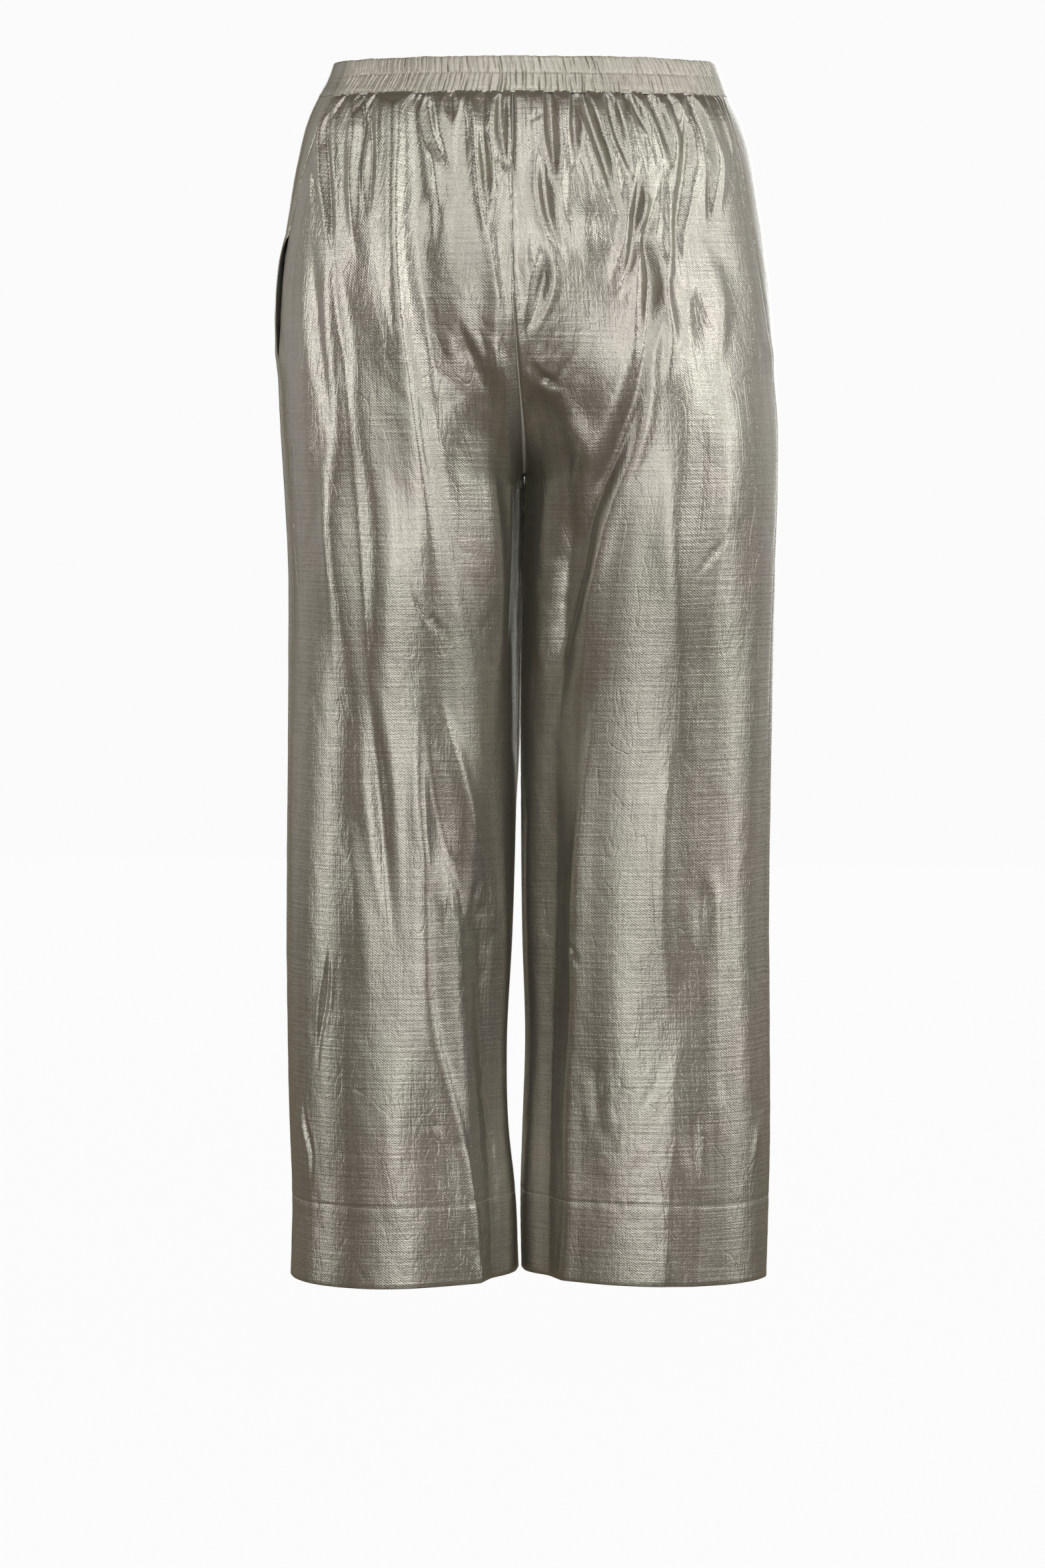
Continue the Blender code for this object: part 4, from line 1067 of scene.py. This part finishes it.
def add_waistband_back(name, material):
    """The elastic half: two gathered channels, the groove between them and a small ruffle below."""
    across = np.linspace(1, -1, BAND_COLUMNS + 1)
    side_of = np.where(across >= 0, LEFT, RIGHT)
    share = np.abs(across) * (1 - SEAM_GAP / 2 / level_line(LEFT, BACK, 0.0)[1][0])
    top = BAND_HEIGHT / 2
    outer = np.linspace(top, RUFFLE_FOOT, BAND_OUTER_ROWS)
    inner = np.linspace(-BAND_HEIGHT / 2 + 0.4, top - 0.2, BAND_INNER_ROWS)

    def ring(heights, outs):
        rows = []
        for side in (LEFT, RIGHT):
            rows.append(band_point(side, BACK, share[None, :], heights, outs))
        return np.where((side_of == LEFT)[None, :, None], rows[0], rows[1])

    flat = ring(np.broadcast_to(0.0, (1, len(share))), np.zeros((1, len(share))))[0]
    around = np.concatenate([[0], np.cumsum(np.linalg.norm(np.diff(flat, axis=0), axis=1))])[None, :]
    height = np.broadcast_to(outer[:, None], (BAND_OUTER_ROWS, len(share)))
    around = np.broadcast_to(around, height.shape)
    turn = around / around.max()
    upper_lean = 0.02 + 0.26 * turn
    lower_lean = -0.22 + 0.4 * turn
    upper = gathered(around, (height - (GROOVE + top) / 2) * 2 / (top - GROOVE), 31, upper_lean)
    lower = gathered(around, (height - (GROOVE - top) / 2) * 2 / (GROOVE + top), 47, lower_lean)
    in_upper = smooth_step((height - GROOVE + 0.5) / 1.0)
    ribs = RIB_DEPTH * (upper * in_upper + lower * (1 - in_upper))
    upper_puff = np.sqrt(np.clip((height - GROOVE) * (top - height), 0, None)) / ((top - GROOVE) / 2)
    lower_puff = np.sqrt(np.clip((GROOVE - height) * (height + top), 0, None)) / ((GROOVE + top) / 2)
    puff = np.where(height > GROOVE, upper_puff, lower_puff)
    ruffle = smooth_step((RUFFLE_STITCH - height) / 1.2)
    stitched = np.exp(-(((height - RUFFLE_STITCH) / 0.55) ** 2)) + np.exp(-(((height - GROOVE) / 0.55) ** 2))
    out = 0.75 + 0.4 * puff**0.5 + ribs * (0.8 + 0.2 * puff) - 0.4 * stitched
    out = out + ruffle * 0.55 * cloth_noise(around / 1.1, height, 71)
    from_end = np.minimum(around, around.max() - around)
    out = 0.6 + (out - 0.6) * (0.15 + 0.85 * smooth_step(from_end / 14))
    wavy = 0.55 * cloth_noise(around / 13, around * 0, 83) + 0.3 * cloth_noise(around / 3.2, around * 0, 84)
    heights = height + wavy * smooth_step((height - top + 4) / 4) - 0.4 * np.abs(wavy) * ruffle
    outer_points = ring(heights, out)
    inner_height = np.broadcast_to(inner[:, None], (BAND_INNER_ROWS, len(share)))
    soft = 0.4 * cloth_noise(around[:BAND_INNER_ROWS] / 3, inner_height / 6, 85)
    inner_points = ring(inner_height, -ELASTIC_WALL + soft)
    points = np.concatenate([outer_points, inner_points])
    count, columns = points.shape[:2]
    faces = tube_faces(count, columns)
    all_around = np.concatenate([around, around[:BAND_INNER_ROWS]])
    uvs = np.stack([all_around, np.concatenate([height, inner_height])], axis=-1)
    made = new_piece(name, points.reshape(-1, 3), faces, [material], uvs.reshape(-1, 2))
    return made, [outer_points[np.argmin(np.abs(outer - h))] for h in (GROOVE, RUFFLE_STITCH)]


def add_waistband_front(name, material):
    """The flat half, a folded strip with soft edges."""
    columns = 220
    across = np.linspace(1, -1, columns + 1)
    share = np.abs(across) * (1 - SEAM_GAP / 2 / level_line(LEFT, FRONT, 0.0)[1][0])
    top, wall = BAND_HEIGHT / 2, FLAT_BAND_WALL
    profile = [(top, -wall * 0.75), (top + 0.3, -wall / 2), (top, -0.25), (top - 0.8, 0.0)]
    profile += [(h, 0.0) for h in np.linspace(top - 3, 3 - top, 9)]
    profile += [(0.8 - top, 0.0), (-top, -0.25), (-top, -wall + 0.25)]
    profile += [(0.8 - top, -wall), (0, -wall), (top - 0.8, -wall)]
    heights = np.array([h for h, out in profile])[:, None] * np.ones((1, columns + 1))
    outs = np.array([out for h, out in profile])[:, None] * np.ones((1, columns + 1))
    left = band_point(LEFT, FRONT, share[None, :], heights, outs)
    right = band_point(RIGHT, FRONT, share[None, :], heights, outs)
    points = np.where((across >= 0)[None, :, None], left, right)
    spans = np.linalg.norm(np.diff(points[6], axis=0), axis=1)
    around = np.concatenate([[0], np.cumsum(spans)])
    facing = outs > -wall / 2
    soft = 0.25 * cloth_noise(around[None, :] / 22, heights / 9, 15) * facing
    points = points + form_offset(across, share, soft)
    faces = tube_faces(len(profile), columns + 1)
    uvs = np.stack([np.broadcast_to(around, heights.shape), heights], axis=-1)
    return new_piece(name, points.reshape(-1, 3), faces, [material], uvs.reshape(-1, 2))


def form_offset(across, share, out):
    """A move outwards, level with the floor, for the front waistband's unevenness."""
    drop = np.full_like(share, -13.0)
    left = form_normal(LEFT, FRONT, share, drop) * (1, 1, 0)
    right = form_normal(RIGHT, FRONT, share, drop) * (1, 1, 0)
    normal = np.where((across >= 0)[:, None], left, right)
    return normal[None] * out[..., None]


def pocket_ring(reach, thick):
    """One loop across a pocket bag: drop, inwards from its middle, and share of the bag's inner layer."""
    along = reach / POCKET_REACH
    bag = float(smooth_step(along / 0.35))
    top = POCKET_TOP + 4 + 6 * bag
    foot = POCKET_FOOT - 4 + POCKET_SAG * bag
    narrowing = math.sqrt(max(0.0, 1 - max(0.0, (along - 0.75) / 0.26) ** 2))
    middle = (top + foot) / 2
    half = (foot - top) / 2 * (0.35 + 0.65 * narrowing) + thick
    hollow = POCKET_HOLLOW / 2 * (0.45 + 0.55 * narrowing)
    turn = 2 * math.pi * np.arange(POCKET_POINTS) / POCKET_POINTS
    flat = np.sin(turn)
    inward = np.copysign(np.minimum(1.0, np.abs(flat) * 2.2), flat) * hollow + thick * flat
    return middle - half * np.cos(turn), inward, 0.5 + 0.5 * flat


def pocket_points(side, reach, drop, inward, inner_layer):
    """Points of the bag. Its mouth is sewn to the front panel and laps under the back panel's edge."""
    mouth = max(0.0, 1 - reach / POCKET_MOUTH_FADE)
    opened = np.maximum(POCKET_SET_BACK, GAPE_FRONT_SHARE * gape_at(side, drop))
    reaches = reach + mouth * ((1 - inner_layer) * opened - inner_layer * POCKET_MOUTH_LAP)
    girths = np.array([level_line(side, FRONT, round(float(d), 1))[1][0] for d in drop])
    share = 1 - (SEAM_GAP + reaches) / girths
    clear = POCKET_CLEAR + (POCKET_SEWN - POCKET_CLEAR) * mouth
    depth = PANEL_WALL + clear + POCKET_WALL + POCKET_HOLLOW / 2 + inward
    soft = 0.5 * cloth_noise(drop / 14, np.full_like(drop, reach / 17), 61) * (1 - mouth)
    set_in = form_normal(side, FRONT, share, drop) * (depth + soft)[:, None]
    return form_point(side, FRONT, share, drop) - set_in


def add_pocket(name, side, material):
    """A pocket bag: a flat pouch inside the front panel, open along the side seam."""
    reaches = POCKET_REACH * np.sin(np.linspace(0, math.pi / 2, POCKET_RINGS))
    outer, inner = [], []
    for reach in reaches:
        outer.append(pocket_points(side, reach, *pocket_ring(reach, POCKET_WALL)))
        inner_reach = min(reach, POCKET_REACH - POCKET_WALL)
        inner.append(pocket_points(side, inner_reach, *pocket_ring(reach, 0.0)))
    rings = outer[::-1] + inner
    points = np.concatenate(rings)
    faces = []
    for row in range(len(rings) - 1):
        for i in range(POCKET_POINTS):
            j = (i + 1) % POCKET_POINTS
            a, b = row * POCKET_POINTS, (row + 1) * POCKET_POINTS
            faces.append((a + i, a + j, b + j, b + i))
    faces.append(list(range(POCKET_POINTS)))
    faces.append(list(range((len(rings) - 1) * POCKET_POINTS, len(rings) * POCKET_POINTS)))
    made = new_piece(name, points, faces, [material])
    turn_outwards(made)
    return made


# The stitches: how far apart, how long and how wide they are, and how high off the cloth.
STITCH_SIZES = ("Pitch", "Length", "Width")
HEM_STITCHES = (2.3, 1.5, 0.42)
HEM_STITCHES_OUT = 0.05
BAND_STITCHES = (2.4, 1.5, 0.4)
BAND_STITCHES_OUT = 0.1
BAND_STITCHES_PICKED = slice(8, -8, 4)


def stitching_tree(material):
    """Geometry nodes: short round stitches, one after another along a line of the cloth."""
    tree = bpy.data.node_groups.new("stitching", "GeometryNodeTree")
    tree.interface.new_socket("Geometry", in_out="INPUT", socket_type="NodeSocketGeometry")
    for name in STITCH_SIZES:
        tree.interface.new_socket(name, in_out="INPUT", socket_type="NodeSocketFloat")
    tree.interface.new_socket("Geometry", in_out="OUTPUT", socket_type="NodeSocketGeometry")
    given = add_node(tree, "NodeGroupInput").outputs
    line = add_node(tree, "GeometryNodeMeshToCurve", Mesh=given["Geometry"]).outputs[0]
    spaced = add_node(
        tree, "GeometryNodeResampleCurve", {"mode": "LENGTH"}, Curve=line, Length=given["Pitch"]
    ).outputs[0]
    away = add_node(
        tree, "GeometryNodeInputNamedAttribute", {"data_type": "FLOAT_VECTOR"}, Name="away"
    ).outputs[0]
    tangent = add_node(tree, "GeometryNodeInputTangent").outputs[0]
    turned = add_node(tree, "FunctionNodeAlignRotationToVector", {"axis": "X"}, Vector=tangent).outputs[0]
    turned = add_node(
        tree, "FunctionNodeAlignRotationToVector", {"axis": "Z", "pivot_axis": "X"},
        Rotation=turned, Vector=away,
    ).outputs[0]
    uneven = add_node(tree, "FunctionNodeRandomValue", {"data_type": "FLOAT"}, _2=0.82, _3=1.12, Seed=5)
    length = add_node(
        tree, "ShaderNodeMath", {"operation": "MULTIPLY"}, _0=uneven.outputs[1], _1=given["Length"]
    ).outputs[0]
    size = add_node(tree, "ShaderNodeCombineXYZ", X=length, Y=given["Width"], Z=given["Width"]).outputs[0]
    stitch = add_node(tree, "GeometryNodeMeshUVSphere", Segments=6, Rings=5, Radius=0.5).outputs[0]
    sewn = add_node(
        tree, "GeometryNodeInstanceOnPoints", Points=spaced, Instance=stitch, Rotation=turned, Scale=size
    ).outputs[0]
    real = add_node(tree, "GeometryNodeRealizeInstances", Geometry=sewn).outputs[0]
    smooth = add_node(tree, "GeometryNodeSetShadeSmooth", Geometry=real).outputs[0]
    finished = add_node(tree, "GeometryNodeSetMaterial", Geometry=smooth, Material=material).outputs[0]
    add_node(tree, "NodeGroupOutput", Geometry=finished)
    return tree


def sew(name, tree, points, away, sizes):
    """Stitches along a line of points in millimetres, each facing away from the cloth."""
    mesh = bpy.data.meshes.new(name)
    mesh.from_pydata((points * MM).tolist(), [(i, i + 1) for i in range(len(points) - 1)], [])
    facing = mesh.attributes.new("away", "FLOAT_VECTOR", "POINT")
    facing.data.foreach_set("vector", np.asarray(away, float).ravel())
    line = bpy.data.objects.new(name + "_line", mesh)
    bpy.context.scene.collection.objects.link(line)
    modifier = line.modifiers.new("stitching", "NODES")
    modifier.node_group = tree
    for item in tree.interface.items_tree:
        if item.name in STITCH_SIZES:
            modifier[item.identifier] = sizes[STITCH_SIZES.index(item.name)] * MM
    depsgraph = bpy.context.evaluated_depsgraph_get()
    sewn = bpy.data.meshes.new_from_object(line.evaluated_get(depsgraph))
    sewn.name = name
    bpy.data.objects.remove(line)
    made = bpy.data.objects.new(name, sewn)
    bpy.context.scene.collection.objects.link(made)
    return made


def hem_line(panel, drop, lift):
    """Points along a panel at one drop, lifted off the cloth, and which way they face."""
    row = int(np.argmin(np.abs(panel.drops - drop)))
    outside, inside = panel.walls()
    away = outside[row] - inside[row]
    away /= np.linalg.norm(away, axis=1, keepdims=True)
    return (outside[row] + away * lift)[1:-1], away[1:-1]


def add_stage(material):
    """A round sweep of paper: a floor that turns up into a wall all around."""
    floor, radius, bend, top = -1.0, 7.6, 2.6, 8.5
    profile = [(0.02, floor), (radius - bend, floor)]
    for step in range(1, 13):
        turn = step / 12 * math.pi / 2
        profile.append((radius - bend + bend * math.sin(turn), floor + bend - bend * math.cos(turn)))
    profile.append((radius, top))
    sides = 96
    points = []
    for reach, z in profile:
        for i in range(sides):
            turn = 2 * math.pi * i / sides
            points.append((reach * math.cos(turn), reach * math.sin(turn), z))
    faces = []
    for row in range(len(profile) - 1):
        for i in range(sides):
            j = (i + 1) % sides
            faces.append((row * sides + i, row * sides + j, (row + 1) * sides + j, (row + 1) * sides + i))
    faces.append(list(reversed(range(sides))))
    mesh = bpy.data.meshes.new("studio_sweep")
    mesh.from_pydata(points, [], faces)
    mesh.materials.append(material)
    mesh.shade_smooth()
    sweep = bpy.data.objects.new("studio_sweep", mesh)
    bpy.context.scene.collection.objects.link(sweep)
    sweep.visible_diffuse = False
    sweep.visible_glossy = False
    sweep.visible_shadow = False


# The camera: its focal length and the picture's height in pixels, its place, and how far its view
# falls on the way to the trousers. The lights are aimed at the middle of the trousers.
PICTURE_HEIGHT = 2352
FOCAL_LENGTH = 8184
CAMERA_PLACE = (-0.002, 4.2, -0.25)
CAMERA_FALL = 0.289
LIGHTS_AIM = (0, 0, -0.45)
LIGHT_COLOUR = "#f6fbff"
WORLD_COLOUR = "#f9deb9"
WORLD_STRENGTH = 0.17


def add_light(name, bearing, distance, height, size, power):
    """A soft rectangular light that the camera doesn't see. Its bearing is in degrees from straight
    behind the trousers, and grows towards their right side."""
    turn = math.radians(bearing)
    place = Vector((-distance * math.sin(turn), distance * math.cos(turn), height))
    data = bpy.data.lights.new(name, "AREA")
    data.shape = "RECTANGLE"
    data.size, data.size_y = size
    data.energy = power
    data.color = linear(LIGHT_COLOUR)[:3]
    light = bpy.data.objects.new(name, data)
    light.location = place
    light.rotation_mode = "QUATERNION"
    light.rotation_quaternion = (Vector(LIGHTS_AIM) - place).to_track_quat("-Z", "Y")
    light.visible_camera = False
    bpy.context.scene.collection.objects.link(light)


def add_camera():
    """The photograph's view: from 4.2 m behind the trousers, level with the tops of the legs and
    looking a little down."""
    data = bpy.data.cameras.new("camera")
    data.sensor_width = 36.0
    data.lens = FOCAL_LENGTH / PICTURE_HEIGHT * data.sensor_width
    camera = bpy.data.objects.new("camera", data)
    camera.location = CAMERA_PLACE
    camera.rotation_euler = (math.pi / 2 - math.atan(CAMERA_FALL / CAMERA_PLACE[1]), 0, math.pi)
    bpy.context.scene.collection.objects.link(camera)
    bpy.context.scene.camera = camera


satin = satin_material("silk_satin_face", True)
# The waistband's satin is a rougher copy, and its paler base colour is painted light.
satin_gathered_painted_lighter = satin_material("silk_satin_gathered", True, (0.4, 0.5), 0.32, 0.7)
satin_back = satin_material("silk_satin_wrong_side", False)
pocketing = pocketing_material()
add_stage(studio_material())
stitching = stitching_tree(thread_material())

SEEDS = {(LEFT, BACK): 100, (RIGHT, BACK): 200, (LEFT, FRONT): 300, (RIGHT, FRONT): 400}
SIDE_WORDS = {LEFT: "left", RIGHT: "right"}
FACE_WORDS = {BACK: "back", FRONT: "front"}

panels = {}
for (side, face), seed in SEEDS.items():
    word = f"{FACE_WORDS[face]}_{SIDE_WORDS[side]}"
    columns, steps = (BACK_COLUMNS, BACK_ROW_STEPS) if face == BACK else (FRONT_COLUMNS, FRONT_ROW_STEPS)
    panel = Panel(side, face, columns, steps)
    panel.shape(seed)
    panels[side, face] = panel
    piece = add_panel(f"{word}_satin", panel, [satin, satin_back])
    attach(piece, "root")
    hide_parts(word)
    points, away = hem_line(panel, HEM_STITCH_DROP, HEM_STITCHES_OUT)
    stitches = sew(f"hem_stitches_{word}", stitching, points, away, HEM_STITCHES)
    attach(stitches, "root")

# Each seam: its panels, their columns that meet, and its top and foot.
WHOLE_SEAMS = [
    ("centre_back", (LEFT, BACK), (RIGHT, BACK), 0, 1.0, CROTCH_DROP),
    ("centre_front", (LEFT, FRONT), (RIGHT, FRONT), 0, 1.0, CROTCH_DROP),
    ("side_left_top", (LEFT, BACK), (LEFT, FRONT), -1, 1.0, POCKET_TOP - 2),
    ("side_left_foot", (LEFT, BACK), (LEFT, FRONT), -1, POCKET_FOOT + 4, HEM_STITCH_DROP),
    ("side_right", (RIGHT, BACK), (RIGHT, FRONT), -1, 1.0, HEM_STITCH_DROP),
    ("inside_left", (LEFT, BACK), (LEFT, FRONT), 0, CROTCH_DROP, HEM_STITCH_DROP),
    ("inside_right", (RIGHT, BACK), (RIGHT, FRONT), 0, CROTCH_DROP, HEM_STITCH_DROP),
]
for word, one, two, column, top, foot in WHOLE_SEAMS:
    meeting = (panels[one], panels[two])
    edge = add_allowance(f"allowance_{word}", meeting, column, top, foot, satin_back)
    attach(edge, "root")

band, band_lines = add_waistband_back("waistband", satin_gathered_painted_lighter)
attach(band, "root")
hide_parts("waistband_back")
flat_band = add_waistband_front("waistband_flat", satin)
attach(flat_band, "root")
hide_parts("waistband_front")
for word, points in zip(("groove", "ruffle"), band_lines):
    away = np.cross(np.gradient(points, axis=0), (0, 0, 1))
    away *= np.sign(away[:, 1].sum())
    away /= np.linalg.norm(away, axis=1, keepdims=True)
    points, away = points[BAND_STITCHES_PICKED], away[BAND_STITCHES_PICKED]
    lifted = points + away * BAND_STITCHES_OUT
    stitches = sew(f"band_stitches_{word}", stitching, lifted, away, BAND_STITCHES)
    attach(stitches, "root")
for side in (LEFT, RIGHT):
    bag = add_pocket(f"pocket_bag_{SIDE_WORDS[side]}", side, pocketing)
    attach(bag, "root")
    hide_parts(f"pocket_{SIDE_WORDS[side]}")

add_camera()
add_light("softbox_left", -34, 4.2, 0.8, (1.7, 2.2), 43)
add_light("softbox_near", 12, 4.4, 0.8, (1.4, 2.0), 29)
add_light("softbox_right", 55, 3.8, 0.6, (1.4, 2.2), 60)
add_light("side_right", 85, 3.8, 0.1, (1.2, 2.4), 46)
add_light("side_left", -85, 3.8, 0.1, (1.2, 2.4), 44)
add_light("softbox_high", 0, 3.8, 2.0, (3.0, 1.2), 52)
add_light("floor_bounce", 0, 3.4, -0.8, (2.2, 0.8), 31)
add_light("front_softbox", 172, 4.4, 0.8, (3.4, 3.0), 105)
add_light("rim_right", 128, 4.0, 0.4, (2.6, 2.8), 20)
add_light("rim_left", -128, 4.0, 0.4, (2.6, 2.8), 14)
world = bpy.data.worlds.new("studio")
world.use_nodes = True
world.node_tree.nodes["Background"].inputs["Color"].default_value = linear(WORLD_COLOUR)
world.node_tree.nodes["Background"].inputs["Strength"].default_value = WORLD_STRENGTH
bpy.context.scene.world = world
bpy.context.scene.view_settings.view_transform = "Standard"
